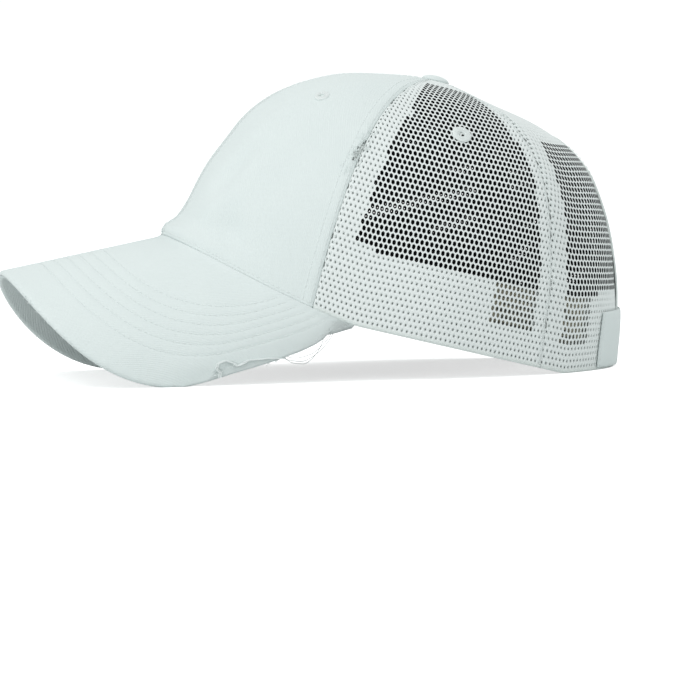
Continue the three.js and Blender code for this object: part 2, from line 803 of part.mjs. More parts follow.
addPiece('peak_upper', buildPly(ROOT_GAP, ROOT_GAP + PLY), 'twill');
addPiece('peak_under', buildPly(ROOT_GAP + GAP + PLY, ROOT_GAP + GAP + 2 * PLY), 'twill');
addPiece('top_button', buildButton(), 'button');
addPiece('ponytail_binding', buildBinding(), 'tape');
addPiece('closure_strap', buildStrap(), 'twill');
addPiece('closure_hook', buildHookPatch(), 'hook');
addPiece('closure_loop', buildLoopPatch(), 'hook');
addPiece('care_label', buildLabel(), 'label');

// Stand the cap on the floor, centred, and flatten the little that would sink below it
const box = new THREE.Box3().setFromObject(cap);
const rest = restHeight();
for (const mesh of cap.children) {
  const spots = mesh.geometry.attributes.position;
  for (let i = 0; i < spots.count; i += 1) {
    spots.setXYZ(
      i,
      spots.getX(i),
      spots.getY(i) - (box.min.y + box.max.y) / 2,
      Math.max(0, spots.getZ(i) - rest),
    );
  }
  mesh.geometry.computeVertexNormals();
}

// Floor level: a little above the hem at the back, so that cloth is pressed flat where it rests
function restHeight() {
  return rimAt(rad(160)).applyMatrix4(tilt).z + REST_PRESS;
}

export default cap;
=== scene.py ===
"""Finished look of the white ponytail baseball cap: washed cotton, fine net, stitching and worn edges.

Every surface follows the same crown and peak shapes as the solids. Lengths inside the classes are
millimetres in the frame of the hem plane; meshes are made in metres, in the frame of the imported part.
"""
from __future__ import annotations

import logging
import math
from dataclasses import dataclass, fields
from enum import Enum
from typing import Any, Callable, Iterable, Optional, Sequence, Union

import bpy
import numpy as np
from mathutils import Matrix, Vector

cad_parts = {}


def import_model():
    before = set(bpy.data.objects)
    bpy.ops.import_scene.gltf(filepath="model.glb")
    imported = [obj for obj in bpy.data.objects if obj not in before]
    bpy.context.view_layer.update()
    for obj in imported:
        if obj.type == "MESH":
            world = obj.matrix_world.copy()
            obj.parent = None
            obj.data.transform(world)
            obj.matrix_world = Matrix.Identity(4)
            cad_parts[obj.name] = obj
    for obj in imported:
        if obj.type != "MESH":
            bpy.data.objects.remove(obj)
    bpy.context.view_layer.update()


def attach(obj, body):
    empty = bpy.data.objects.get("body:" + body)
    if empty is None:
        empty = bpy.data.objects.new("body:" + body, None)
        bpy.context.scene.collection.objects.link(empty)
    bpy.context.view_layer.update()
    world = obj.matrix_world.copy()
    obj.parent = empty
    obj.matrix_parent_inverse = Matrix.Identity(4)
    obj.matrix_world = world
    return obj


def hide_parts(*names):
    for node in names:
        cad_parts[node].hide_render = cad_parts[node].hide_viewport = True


LOG = logging.getLogger("cap")
MM = 0.001
Array = np.ndarray
rad = math.radians


class Side(Enum):
    """The two sides of the cap, by the wearer's hand; the value is the sign of X."""

    LEFT = 1
    RIGHT = -1

    @property
    def word(self) -> str:
        """Returns the word used in node names."""
        return self.name.lower()


class Row(Enum):
    """Which profile a table of reach and rise belongs to."""

    FRONT = "front"
    SIDE = "side"
    BACK = "back"


PROFILES: dict[Row, Array] = {
    Row.FRONT: np.array([(1, 0), (0.949, 0.125), (0.903, 0.3), (0.843, 0.47), (0.763, 0.64),
                         (0.627, 0.8), (0.442, 0.91), (0.222, 0.975), (0, 1)]),
    Row.SIDE: np.array([(1, 0), (0.99, 0.16), (0.965, 0.32), (0.915, 0.48), (0.83, 0.64),
                        (0.7, 0.78), (0.5, 0.9), (0.26, 0.97), (0, 1)]),
    Row.BACK: np.array([(1, 0), (0.974, 0.16), (0.941, 0.32), (0.888, 0.475), (0.81, 0.64),
                        (0.694, 0.79), (0.509, 0.895), (0.266, 0.95), (0, 1)]),
}


@dataclass(frozen=True)
class Dent:
    """A soft hollow or swelling of the cloth.

    Attributes:
        angle: Angle around the crown, in degrees from the front, or place across the peak.
        up: Share of the way up the crown, or out along the peak.
        wide: Half width, in the units of angle.
        tall: Half height, in the units of up.
        depth: Height above the cloth in millimetres, negative for a hollow.
        lean: How far the dent leans, in units of angle for each unit of up.
    """

    angle: float
    up: float
    wide: float
    tall: float
    depth: float
    lean: float = 0.0

    def height(self, angle: Array, up: Array) -> Array:
        """Gives the dent's height at places on the cloth.

        Args:
            angle: Angles or places across.
            up: Shares of the way up or out.

        Returns:
            Heights in millimetres.
        """
        across = (angle - self.angle - self.lean * (up - self.up)) / self.wide
        along = (up - self.up) / self.tall
        return self.depth * np.exp(-(across ** 2 + along ** 2))


CROWN_DENTS: tuple[Dent, ...] = (
    Dent(21.5, 0.30, 4.5, 0.09, -1.5, 25), Dent(33.0, 0.13, 5.0, 0.05, -1.2, -30),
    Dent(21.5, 0.17, 6.0, 0.05, 1.2), Dent(45.0, 0.42, 7.0, 0.12, -0.7, 20),
    Dent(12.0, 0.52, 7.0, 0.10, -0.6), Dent(-14.0, 0.32, 6.0, 0.12, -1.0, -20),
    Dent(-30.0, 0.55, 9.0, 0.10, -0.8), Dent(-40.0, 0.20, 6.0, 0.08, 0.9),
    Dent(95.0, 0.45, 12.0, 0.14, -0.7), Dent(140.0, 0.5, 8.0, 0.16, -0.8),
    Dent(-100.0, 0.4, 14.0, 0.2, -0.8), Dent(-138.0, 0.55, 8.0, 0.14, -0.7),
)
PEAK_DENTS: tuple[Dent, ...] = (
    Dent(0.35, 0.35, 0.12, 0.16, -0.5), Dent(0.62, 0.8, 0.07, 0.12, 0.6),
    Dent(0.15, 0.8, 0.10, 0.12, -0.4), Dent(-0.4, 0.6, 0.15, 0.2, -0.5),
)


# Rows of stitches on the peak, in millimetres in from its edge
PEAK_ROWS: tuple[float, ...] = (17.6, 23.6, 29.2, 34.6, 40.0, 45.4)
# Sizes in millimetres; the back tape has a width before its seam and one after it
BAND_HEIGHT = 33.5
FRONT_TAPE = 11.0
BACK_TAPE = (6.5, 9.0)
# The label's foot above the hem, in millimetres, and its two ends, in degrees from the front
LABEL_FOOT = 13.0
LABEL_ENDS = (107, 140.7)
# Middle of the frayed slit, in degrees and as a share of the way up, and its lean in degrees
SLIT_TURN, SLIT_UP, SLIT_LEAN = 62.9, 0.505, 12
# Length of cloth across and along the peak, in millimetres
PEAK_CLOTH = (95, 74)
# Length of cloth on the crown from hem to apex, in millimetres
CLOTH_RISE = 125.0
# How near a loose end may come to the floor, in metres
FLOOR_CLEAR = 0.0003
# Where threads leave the peak, as a share of the way out to its worn edge
THREAD_ROOT = 0.985
# The columns of the next three tables are the place across the peak and the share of the way out
TEAR_INNER: list[tuple[float, float]] = [
    (0.740, 0.845), (0.757, 0.785), (0.80, 0.80), (0.825, 0.83), (0.845, 0.868)]
TEAR: Array = np.array([(0.698, 1.0), (0.700, 0.90), (0.703, 0.79), (0.712, 0.765), (0.725, 0.80),
                        *TEAR_INNER, (0.850, 1.0)])
TEAR_RIM: Array = np.array([(0.713, 0.945), (0.707, 0.89), (0.690, 0.83), (0.686, 0.78), (0.700, 0.757),
                            (0.722, 0.795), *TEAR_INNER])
WORN_EDGE: Array = np.array([
    (0.64, 1.0), (0.70, 0.97), (0.745, 0.937), (0.80, 0.90), (0.84, 0.87), (0.86, 0.84),
    (0.88, 0.83), (0.90, 0.805), (0.92, 0.81), (0.94, 0.92), (0.955, 1.0)])


def edge_out(across: Array) -> Array:
    """Gives how far out the peak's edge lies at each place across, less than 1 where it is worn away."""
    return np.interp(across, WORN_EDGE[:, 0], WORN_EDGE[:, 1])


def paired(first: Any, second: Any) -> tuple[Array, Array]:
    """Spreads two values or arrays to the same shape."""
    one, two = np.broadcast_arrays(np.asarray(first, float), np.asarray(second, float))
    return one, two


def halve(low: Array, high: Array, steps: int, short: Callable[[Array], Array]) -> Array:
    """Finds where a test turns false, by halving the span again and again.

    Args:
        low: Lower ends of the spans.
        high: Upper ends of the spans.
        steps: How often to halve them.
        short: The test, true below the place that is sought.

    Returns:
        The places.
    """
    for _ in range(steps):
        middle = (low + high) / 2
        below = short(middle)
        low, high = np.where(below, middle, low), np.where(below, high, middle)
    return (low + high) / 2


def ring_faces(count: int, size: int, closed: bool, base: int = 0) -> list[tuple[int, ...]]:
    """Joins rings of points with four-sided faces, with a cap at each end unless the rings close.

    Args:
        count: Number of rings.
        size: Points in a ring.
        closed: True where the last ring joins the first.
        base: Number of the first point.

    Returns:
        The faces, by point number.
    """
    faces: list[tuple[int, ...]] = []
    for i in range(count if closed else count - 1):
        a, b = base + i * size, base + (i + 1) % count * size
        faces += [(a + k, a + (k + 1) % size, b + (k + 1) % size, b + k) for k in range(size)]
    if not closed:
        faces.append(tuple(base + k for k in reversed(range(size))))
        faces.append(tuple(base + (count - 1) * size + k for k in range(size)))
    return faces


@dataclass(frozen=True)
class CapShape:
    """Crown and peak shapes, the same as those of the solids, and the low relief of the sewn cloth.

    Attributes:
        half_length: Half length of the crown at the hem.
        half_width: Half width of the crown at the hem.
        egg: Share by which the hem is wider at the back.
        squareness: Power that rounds the hem's outline.
        apex_y: Place of the apex along the cap.
        height: Height of the apex above the hem plane.
        front_lift: How far the hem is lifted at the front centre.
        lift_fall: Power by which that lift falls away to the sides.
        hem_puff: Share by which the front swells just above the peak.
        peak_end: Angle at which the peak's joint ends.
        pitch: How far the cap tips back to rest on the floor.
        rest_from_y: Place from which the back hem is level with the floor.
        press: How far the back hem is pressed together.
        front_seam: Angle of the seam between cotton and net.
        back_seam: Angle of the seam between the side and back nets.
        peak_slope: How far the peak's ridge falls.
        peak_length: Length of the peak on its ridge.
        arch_half_width: Half width of the peak's arch at its root.
        arch_taper: Share by which the arch narrows along the ridge.
        arch_drop: Height of the arch.
        side_turn: Turn around the arch where the edge is widest.
        widest_at: Distance along the ridge where the edge is widest.
        edge_squareness: Power that rounds the edge.
        front_edge_share: Share of the way across where the edge is widest.
        opening_top: Top of the ponytail opening, as a share of the way up.
        opening_shoulder: Where its round top starts, the same way.
        opening_half_width: Half width of the opening.
        shift_y: How far the cap is moved to lie over the middle of the floor.
        crown_top: Where the panels end under the button, as a share of the way up.
        dent_scale: Factor on the depth of every crown dent.
        wave_height: Height of the wave over the whole crown.
        seam_depth: Depth of the valley along a seam.
        seam_width: Half width of that valley.
        pucker_height: Height of the pucker beside a seam.
        pucker_away: Distance from the seam to the pucker.
        pucker_width: Half width of the pucker.
        row_depth: Depth of the groove at a row of stitches on the peak.
        row_width: Half width of that groove.
    """

    half_length: float = 104.0
    half_width: float = 76.5
    egg: float = 0.04
    squareness: float = 0.92
    apex_y: float = -1.1
    height: float = 113.1
    front_lift: float = 20.0
    lift_fall: float = 1.25
    hem_puff: float = 0.022
    peak_end: float = rad(75.8)
    pitch: float = rad(14.3)
    rest_from_y: float = 71.0
    press: float = 0.15
    front_seam: float = rad(63.7)
    back_seam: float = rad(123.9)
    peak_slope: float = rad(24.8)
    peak_length: float = 73.9
    arch_half_width: float = 69.5
    arch_taper: float = 0.039
    arch_drop: float = 58.2
    side_turn: float = rad(93.4)
    widest_at: float = 5.0
    edge_squareness: float = 0.9
    front_edge_share: float = 0.7
    opening_top: float = 0.7064
    opening_shoulder: float = 0.45
    opening_half_width: float = 19.0
    shift_y: float = 30.40
    crown_top: float = 0.972
    dent_scale: float = 1.5
    wave_height: float = 0.45
    seam_depth: float = 0.55
    seam_width: float = 0.9
    pucker_height: float = 0.3
    pucker_away: float = 3.2
    pucker_width: float = 2.2
    row_depth: float = 0.28
    row_width: float = 0.7

    def floor_level(self) -> float:
        """Gives the height of the floor under the back of the hem, in the turned hem frame."""
        back = self.rim(np.array([rad(160)]))[0]
        return -back[1] * math.sin(self.pitch) + back[2] * math.cos(self.pitch) + self.press

    def to_frame(self, points: Array) -> Array:
        """Stands points of the hem frame on the floor.

        Args:
            points: Points in millimetres in the frame of the hem plane, the last axis being x, y, z.

        Returns:
            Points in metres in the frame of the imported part.
        """
        c, s = math.cos(self.pitch), math.sin(self.pitch)
        x, y, z = points[..., 0], points[..., 1], points[..., 2]
        above = np.maximum(0.02, -y * s + z * c - self.floor_level())
        stood = np.stack([x, y * c + z * s + self.shift_y, above], -1)
        return stood * MM

    def hem_height(self, angle: Array, y: Array) -> Array:
        """Gives the height of the hem: lifted over the peak, level with the floor at the back.

        Args:
            angle: Angles from the front centre, in radians.
            y: Places along the cap, in millimetres.

        Returns:
            Heights in millimetres.
        """
        away = np.abs(np.arctan2(np.sin(angle), np.cos(angle)))
        share = np.clip(away / self.peak_end, 0, 1)
        lift = self.front_lift * np.maximum(0, np.cos(math.pi / 2 * share)) ** self.lift_fall
        return lift + np.maximum(0, y - self.rest_from_y) * math.tan(self.pitch)

    def rim(self, angle: Array) -> Array:
        """Gives points of the hem line at angles from the front centre.

        Args:
            angle: Angles from the front centre, in radians.

        Returns:
            Points in millimetres, in the frame of the hem plane.
        """
        sine = np.sin(angle)
        across = np.sign(sine) * np.abs(sine) ** self.squareness
        x = self.half_width * across * (1 - self.egg * np.cos(angle))
        y = -self.half_length * np.cos(angle)
        return np.stack([x, y, self.hem_height(angle, y)], -1)

    @staticmethod
    def profile(row: Row, up: Array) -> Array:
        """Reads a profile table with a smooth curve, level at the apex.

        Args:
            row: The profile to read.
            up: Shares of the way up to the apex.

        Returns:
            Reach and rise, as shares of the full size.
        """
        table = PROFILES[row]
        last = len(table) - 1
        place = np.clip(up, 0, 1) * last
        i = np.minimum(place.astype(int), last - 1)
        f = (place - i)[..., None]
        b, c = table[i], table[i + 1]
        a = np.where((i == 0)[..., None], 2 * b - c, table[np.maximum(i - 1, 0)])
        d = np.where((i == last - 1)[..., None], b * np.array([-1, 1]), table[np.minimum(i + 2, last)])
        return 0.5 * (2 * b + (c - a) * f + (2 * a - 5 * b + 4 * c - d) * f ** 2
                      + (3 * b - a - 3 * c + d) * f ** 3)

    def crown(self, angle: Array, up: Array) -> Array:
        """Gives points of the crown's outer face.

        Args:
            angle: Angles from the front centre, in radians.
            up: Shares of the way up to the apex.

        Returns:
            Points in millimetres in the frame of the hem plane.
        """
        angle, up = paired(angle, up)
        rim = self.rim(angle)
        c = np.cos(angle)
        front, back = np.where(c > 0, c * c, 0), np.where(c < 0, c * c, 0)
        shares = ((Row.FRONT, front), (Row.BACK, back), (Row.SIDE, 1 - c * c))
        both = sum(share[..., None] * self.profile(row, up) for row, share in shares)
        puff = self.hem_puff * front ** 2 * np.exp(-(((up - 0.045) / 0.04) ** 2))
        reach, rise = both[..., 0] + puff, both[..., 1]
        return np.stack([rim[..., 0] * reach, self.apex_y + (rim[..., 1] - self.apex_y) * reach,
                         rim[..., 2] + (self.height - rim[..., 2]) * rise], -1)

    def crown_normal(self, angle: Array, up: Array) -> Array:
        """Gives the outward directions of the crown's face.

        Args:
            angle: Angles from the front centre, in radians.
            up: Shares of the way up to the apex.

        Returns:
            Directions of length 1.
        """
        up = np.clip(up, 0.004, 0.985)
        around = self.crown(angle + 0.01, up) - self.crown(angle - 0.01, up)
        along = self.crown(angle, up + 0.004) - self.crown(angle, up - 0.004)
        normal = np.cross(around, along)
        return normal / np.linalg.norm(normal, axis=-1, keepdims=True)

    def ring_length(self, angle: Array, up: Array) -> Array:
        """Gives the length of crown for each radian of angle, in millimetres."""
        step = self.crown(angle + 0.01, up) - self.crown(angle - 0.01, up)
        return np.linalg.norm(step, axis=-1) / 0.02

    def crown_relief(self, angle: Array, up: Array) -> Array:
        """Gives the small rises and hollows of the sewn cloth, in millimetres.

        Args:
            angle: Angles from the front centre, in radians.
            up: Shares of the way up to the apex.

        Returns:
            Heights in millimetres.
        """
        turn = np.degrees(np.arctan2(np.sin(angle), np.cos(angle)))
        relief = self.dent_scale * sum(dent.height(turn, up) for dent in CROWN_DENTS)
        wave = np.sin(turn * 0.11 + up * 9.0) * np.sin(turn * 0.05 - up * 17.0 + 1.3)
        relief = relief + self.wave_height * wave * np.clip((0.95 - up) / 0.2, 0, 1)
        length = np.maximum(self.ring_length(angle, up), 1.0)
        for seam in (0.0, self.front_seam, self.back_seam, math.pi):
            away = np.abs(np.radians(np.abs(turn)) - seam) * length
            fade = np.clip((0.93 - up) / 0.12, 0, 1)
            relief = relief - self.seam_depth * fade * np.exp(-((away / self.seam_width) ** 2))
            beside = (away - self.pucker_away) / self.pucker_width
            relief = relief + self.pucker_height * fade * np.exp(-(beside ** 2))
        return relief

    def crown_at(self, angle: Array, up: Array, offset: Union[float, Array]) -> Array:
        """Gives points off the crown's face, with its relief, stood in the part's frame.

        Args:
            angle: Angles from the front centre, in radians.
            up: Shares of the way up to the apex.
            offset: Heights above the face, in millimetres.

        Returns:
            Points in metres.
        """
        angle, up = paired(angle, up)
        lift = np.asarray(offset, float) + self.crown_relief(angle, up)
        point = self.crown(angle, up) + self.crown_normal(angle, up) * lift[..., None]
        level = np.where(up <= 0, self.hem_height(angle, point[..., 1]), point[..., 2])
        return self.to_frame(np.stack([point[..., 0], point[..., 1], level], -1))

    def up_at_height(self, angle: Array, height: Array) -> Array:
        """Finds the share of the way up at which the wall stands a height above the hem.

        Args:
            angle: Angles from the front centre, in radians.
            height: Heights above the hem, in millimetres.

        Returns:
            Shares of the way up.
        """
        angle, height = paired(angle, height)
        base = self.rim(angle)[..., 2]
        return halve(np.zeros_like(height), np.full_like(height, 0.6), 24,
                     lambda middle: self.crown(angle, middle)[..., 2] - base < height)

    def opening_angle(self, up: Array) -> Array:
        """Gives the angle of the left edge of the ponytail opening at each share of the way up.

        Args:
            up: Shares of the way up to the apex.

        Returns:
            Angles from the front centre, in radians.
        """
        up = np.asarray(up, float)
        rise = np.clip((up - self.opening_shoulder) / (self.opening_top - self.opening_shoulder), 0, 1)
        width = np.maximum(0.15, self.opening_half_width * np.sqrt(1 - rise ** 2))
        return halve(np.full_like(up, rad(150)), np.full_like(up, math.pi), 26,
                     lambda middle: self.crown(middle, up)[..., 0] > width)

    def arch(self, along: Array, turn: Array) -> Array:
        """Gives points of the peak's arch, along its ridge and around its turn.

        Args:
            along: Distances along the ridge, in millimetres.
            turn: Angles around the arch, in radians.

        Returns:
            Points in millimetres, in the frame of the hem plane.
        """
        drop = -self.arch_drop * (1 - np.cos(turn))
        c, s = math.cos(self.peak_slope), math.sin(self.peak_slope)
        return np.stack([(self.arch_half_width - self.arch_taper * along) * np.sin(turn),
                         -self.half_length - c * along - s * drop,
                         self.front_lift - s * along + c * drop], -1)

    def arch_place(self, point: Array) -> tuple[Array, Array]:
        """Finds where on the arch a point lies.

        Args:
            point: Points in millimetres, in the frame of the hem plane.

        Returns:
            Distances along the ridge and angles around the arch.
        """
        c, s = math.cos(self.peak_slope), math.sin(self.peak_slope)
        along = np.zeros(point.shape[:-1])
        turn = along
        for _ in range(10):
            half = self.arch_half_width - self.arch_taper * along
            turn = np.arcsin(np.clip(point[..., 0] / half, -1, 1))
            along = (-(point[..., 1] + self.half_length) + s * self.arch_drop * (1 - np.cos(turn))) / c
        return along, turn

    def peak(self, across: Array, out: Array) -> Array:
        """Gives points of the peak's face, across from -1 to 1 and out from the joint to the edge.

        Args:
            across: Places across the peak, from -1 to 1.
            out: Shares of the way out from the joint to the edge.

        Returns:
            Points in millimetres, in the frame of the hem plane.
        """
        across, out = paired(across, out)
        q = np.abs(across)
        root = self.rim(q * self.peak_end)
        along, turn = self.arch_place(root)
        miss = root - self.arch(along, turn)
        end_along, end_turn = self.arch_place(self.rim(np.array([self.peak_end])))
        swing = np.clip(q / self.front_edge_share, 0, 1) * math.pi / 2
        rear = np.clip((q - self.front_edge_share) / (1 - self.front_edge_share), 0, 1)
        forward = np.maximum(0, np.cos(swing)) ** self.edge_squareness
        aside = np.sin(swing) ** self.edge_squareness
        edge_along = (self.widest_at + (self.peak_length - self.widest_at) * forward
                      - (self.widest_at - end_along) * rear)
        edge_turn = self.side_turn * aside - (self.side_turn - end_turn) * rear ** 2
        w = np.clip(out, 0, 1)
        point = self.arch(along + (edge_along - along) * w, turn + (edge_turn - turn) * w)
        point = point + miss * ((1 - w) + w * rear ** 2)[..., None]
        return point * np.stack([np.where(across < 0, -1.0, 1.0), np.ones_like(q), np.ones_like(q)], -1)

    def peak_normal(self, across: Array, out: Array) -> Array:
        """Gives the outward directions of the peak's face.

        Args:
            across: Places across the peak, from -1 to 1.
            out: Shares of the way out from the joint to the edge.

        Returns:
            Directions of length 1.
        """
        a, w = np.clip(across, -0.97, 0.97), np.clip(out, 0.03, 0.97)
        around = self.peak(a + 0.01, w) - self.peak(a - 0.01, w)
        along = self.peak(a, w + 0.02) - self.peak(a, w - 0.02)
        normal = np.cross(along, around)
        return normal / np.linalg.norm(normal, axis=-1, keepdims=True)

    def peak_depth(self, across: Array) -> Array:
        """Gives the length of cloth from the joint to the edge at each place across, in millimetres.

        Args:
            across: Places across the peak, from -1 to 1.

        Returns:
            Lengths in millimetres.
        """
        across = np.asarray(across, float)
        steps = self.peak(across[..., None], np.linspace(0, 1, 13))
        return np.linalg.norm(np.diff(steps, axis=-2), axis=-1).sum(-1)

    def peak_at(self, across: Array, out: Array, offset: Union[float, Array]) -> Array:
        """Gives points off the peak's face, with its relief, stood in the part's frame.

        Args:
            across: Places across the peak, from -1 to 1.
            out: Shares of the way out from the joint to the edge.
            offset: Heights above the face, in millimetres.

        Returns:
            Points in metres.
        """
        across, out = paired(across, out)
        relief = sum(dent.height(across, out) for dent in PEAK_DENTS)
        inside = self.peak_depth(across) * (1 - out)
        for row in PEAK_ROWS:
            relief = relief - self.row_depth * np.exp(-(((inside - row) / self.row_width) ** 2))
        lift = np.asarray(offset, float) + relief
        return self.to_frame(self.peak(across, out) + self.peak_normal(across, out) * lift[..., None])


SHAPE = CapShape()


class Wire:
    """One value in a node graph, with arithmetic that adds the nodes it needs."""

    def __init__(self, graph: "NodeGraph", socket: bpy.types.NodeSocket) -> None:
        """Wraps a socket."""
        self.graph = graph
        self.socket = socket

    def maths(self, operation: str, *others: Any, first: Any = None) -> "Wire":
        """Adds one maths node."""
        values = [self, *others] if first is None else [first, self]
        return self.graph.node("ShaderNodeMath", {"operation": operation}, dict(enumerate(values)))

    def __add__(self, other: Any) -> "Wire":
        """Adds a value."""
        return self.maths("ADD", other)

    def __radd__(self, other: Any) -> "Wire":
        """Adds to a value."""
        return self.maths("ADD", first=other)

    def __sub__(self, other: Any) -> "Wire":
        """Takes a value away."""
        return self.maths("SUBTRACT", other)

    def __rsub__(self, other: Any) -> "Wire":
        """Takes this from a value."""
        return self.maths("SUBTRACT", first=other)

    def __mul__(self, other: Any) -> "Wire":
        """Multiplies by a value."""
        return self.maths("MULTIPLY", other)

    def __rmul__(self, other: Any) -> "Wire":
        """Multiplies a value."""
        return self.maths("MULTIPLY", first=other)

    def __truediv__(self, other: Any) -> "Wire":
        """Divides by a value."""
        return self.maths("DIVIDE", other)

    def __rtruediv__(self, other: Any) -> "Wire":
        """Divides a value by this."""
        return self.maths("DIVIDE", first=other)

    def sine(self) -> "Wire":
        """Returns the sine of this value."""
        return self.maths("SINE")


class NodeGraph:
    """A node tree that is filled in through one method."""

    def __init__(self, tree: bpy.types.NodeTree) -> None:
        """Starts from an empty tree."""
        self.tree = tree
        self.tree.nodes.clear()

    def node(self, kind: str, settings: Optional[dict[str, Any]] = None,
             inputs: Optional[dict[Union[int, str], Any]] = None, output: Union[int, str] = 0) -> Wire:
        """Adds a node.

        Args:
            kind: The node's type.
            settings: Its properties.
            inputs: Its inputs by name or number, as values or as wires.
            output: Which output to return.

        Returns:
            The chosen output.
        """
        made = self.tree.nodes.new(kind)
        for key, value in (settings or {}).items():
            setattr(made, key, value)
        for key, value in (inputs or {}).items():
            if isinstance(value, Wire):
                self.tree.links.new(value.socket, made.inputs[key])
            elif isinstance(value, (list, tuple)) and value and isinstance(value[0], Wire):
                for wire in value:
                    self.tree.links.new(wire.socket, made.inputs[key])
            else:
                made.inputs[key].default_value = value
        return Wire(self, made.outputs[output] if made.outputs else None)

    def also(self, wire: Wire, output: Union[int, str]) -> Wire:
        """Returns another output of the node that a wire comes from."""
        return Wire(self, wire.socket.node.outputs[output])


Colour = tuple[float, float, float]


@dataclass(frozen=True)
class ClothFinish:
    """A woven or knitted finish.

    Attributes:
        name: The material's name.
        colour: Main colour, linear.
        shade: Colour of its hollows and worn places, linear.
        roughness: How matt it is.
        weave: Threads for each millimetre of the cloth map, 0 for none.
        slant: How far the weave leans: 1 is a diagonal twill.
        bump: Height of the weave and fluff, in millimetres.
        mottle: Share of uneven colour.
        sheen: How much its fluff catches the light at a slant.
        painted_inner_shade: Painted near-black shade, linear, laid on the faces marked inside, those that
            look into the crown, or None where the cloth has none.
    """

    name: str
    colour: Colour
    shade: Colour
    roughness: float = 0.92
    weave: float = 0.0
    slant: float = 1.0
    bump: float = 0.06
    mottle: float = 0.5
    sheen: float = 0.15
    painted_inner_shade: Optional[Colour] = None

    def build(self) -> bpy.types.Material:
        """Makes the material.

        Returns:
            The finished material.
        """
        material = bpy.data.materials.new(self.name)
        material.use_nodes = True
        graph = NodeGraph(material.node_tree)
        place = graph.node("ShaderNodeTexCoord", output="Object")
        patches = self._noise(graph, place, 55.0, 3.0)
        fluff = self._noise(graph, place, 900.0, 2.0)
        share = (patches * 0.65 + fluff * 0.35) * self.mottle
        colour = graph.node("ShaderNodeMix", {"data_type": "RGBA"},
                            {0: share, 6: (*self.colour, 1), 7: (*self.shade, 1)}, output=2)
        # Painted shade: the faces marked inside take a near-black colour in place of the cloth's own
        if self.painted_inner_shade:
            inside = graph.node("ShaderNodeAttribute", {"attribute_name": "inside"}, output="Fac")
            colour = graph.node("ShaderNodeMix", {"data_type": "RGBA"},
                                {0: inside, 6: colour, 7: (*self.painted_inner_shade, 1)}, output=2)
        height = fluff * 0.6 + patches * 0.5
        if self.weave > 0:
            height = height + self._threads(graph, fluff) * 0.7
        bump = graph.node("ShaderNodeBump", {},
                          {"Strength": 1.0, "Distance": self.bump * MM, "Height": height})
        shader = graph.node("ShaderNodeBsdfPrincipled", {}, {
            "Base Color": colour, "Roughness": self.roughness, "Normal": bump,
            "Sheen Weight": self.sheen, "Specular IOR Level": 0.15})
        graph.node("ShaderNodeOutputMaterial", {}, {"Surface": shader})
        return material

    @staticmethod
    def _noise(graph: NodeGraph, place: Wire, scale: float, detail: float) -> Wire:
        """Adds cloudy noise at a scale in cycles for each metre."""
        return graph.node("ShaderNodeTexNoise", {}, {"Vector": place, "Scale": scale, "Detail": detail})

    def _threads(self, graph: NodeGraph, fluff: Wire) -> Wire:
        """Adds the ribs of the weave, from the cloth map in millimetres.

        Args:
            graph: The graph to add to.
            fluff: The fine noise.

        Returns:
            Heights from 0 to 1, as a wire.
        """
        cloth = graph.node("ShaderNodeUVMap", {"uv_map": "cloth"})
        u = graph.node("ShaderNodeSeparateXYZ", {}, {0: cloth}, output=0)
        v = graph.also(u, 1)
        turn = 2 * math.pi * self.weave
        return ((u + v * self.slant) * (1000 * turn) + fluff * 3.0).sine() * 0.5 + 0.5


# Colours, linear: each cloth's own and that of its hollows
# Painted shade, near black: laid on the inner faces of the front panels, net and seam tapes and on the walls
# of open net holes, so that the inside of the crown looks dark
DEEP_SHADE: Colour = (0.004, 0.005, 0.006)
TWILL: tuple[Colour, Colour] = ((0.80, 0.862, 0.85), (0.70, 0.775, 0.77))
NET: tuple[Colour, Colour] = ((0.86, 0.90, 0.89), (0.78, 0.83, 0.82))
TAPE: tuple[Colour, Colour] = ((0.78, 0.83, 0.81), (0.70, 0.75, 0.73))
BAND: tuple[Colour, Colour] = ((0.70, 0.745, 0.735), (0.62, 0.67, 0.66))
THREAD: tuple[Colour, Colour] = ((0.84, 0.89, 0.88), (0.74, 0.79, 0.78))
YARN: tuple[Colour, Colour] = ((0.42, 0.45, 0.44), (0.30, 0.33, 0.32))
PILE: tuple[Colour, Colour] = ((0.66, 0.69, 0.67), (0.5, 0.53, 0.52))
LABEL: tuple[Colour, Colour] = ((0.56, 0.53, 0.42), (0.42, 0.39, 0.30))
INK: tuple[Colour, Colour] = ((0.12, 0.12, 0.11), (0.2, 0.2, 0.18))


@dataclass(frozen=True)
class Palette:
    """The finishes of the cap, one for each kind of cloth; the panel, net and backing finishes also paint
    near-black shade on their inner faces.
    """

    twill: ClothFinish = ClothFinish("washed_twill", *TWILL, weave=0.8, bump=0.10)
    panel: ClothFinish = ClothFinish("panel_twill", *TWILL, weave=0.8, bump=0.10, painted_inner_shade=DEEP_SHADE)
    net: ClothFinish = ClothFinish("net_mesh", *NET, 0.9, bump=0.03, sheen=0.0, painted_inner_shade=DEEP_SHADE)
    tape: ClothFinish = ClothFinish("seam_tape", *TAPE, weave=1.0, slant=0.0)
    backing: ClothFinish = ClothFinish("seam_tape_backing", *TAPE, weave=1.0, slant=0.0, painted_inner_shade=DEEP_SHADE)
    band: ClothFinish = ClothFinish("sweatband_cloth", *BAND, weave=0.9, slant=0.0)
    thread: ClothFinish = ClothFinish("sewing_thread", *THREAD, 0.8, bump=0.02)
    yarn: ClothFinish = ClothFinish("loose_yarn", *YARN, 0.8, bump=0.02)
    hook: ClothFinish = ClothFinish("hook_and_loop", *PILE, weave=1.4, bump=0.2)
    label: ClothFinish = ClothFinish("label_cloth", *LABEL, weave=1.2, slant=0.0)
    ink: ClothFinish = ClothFinish("label_print", *INK)


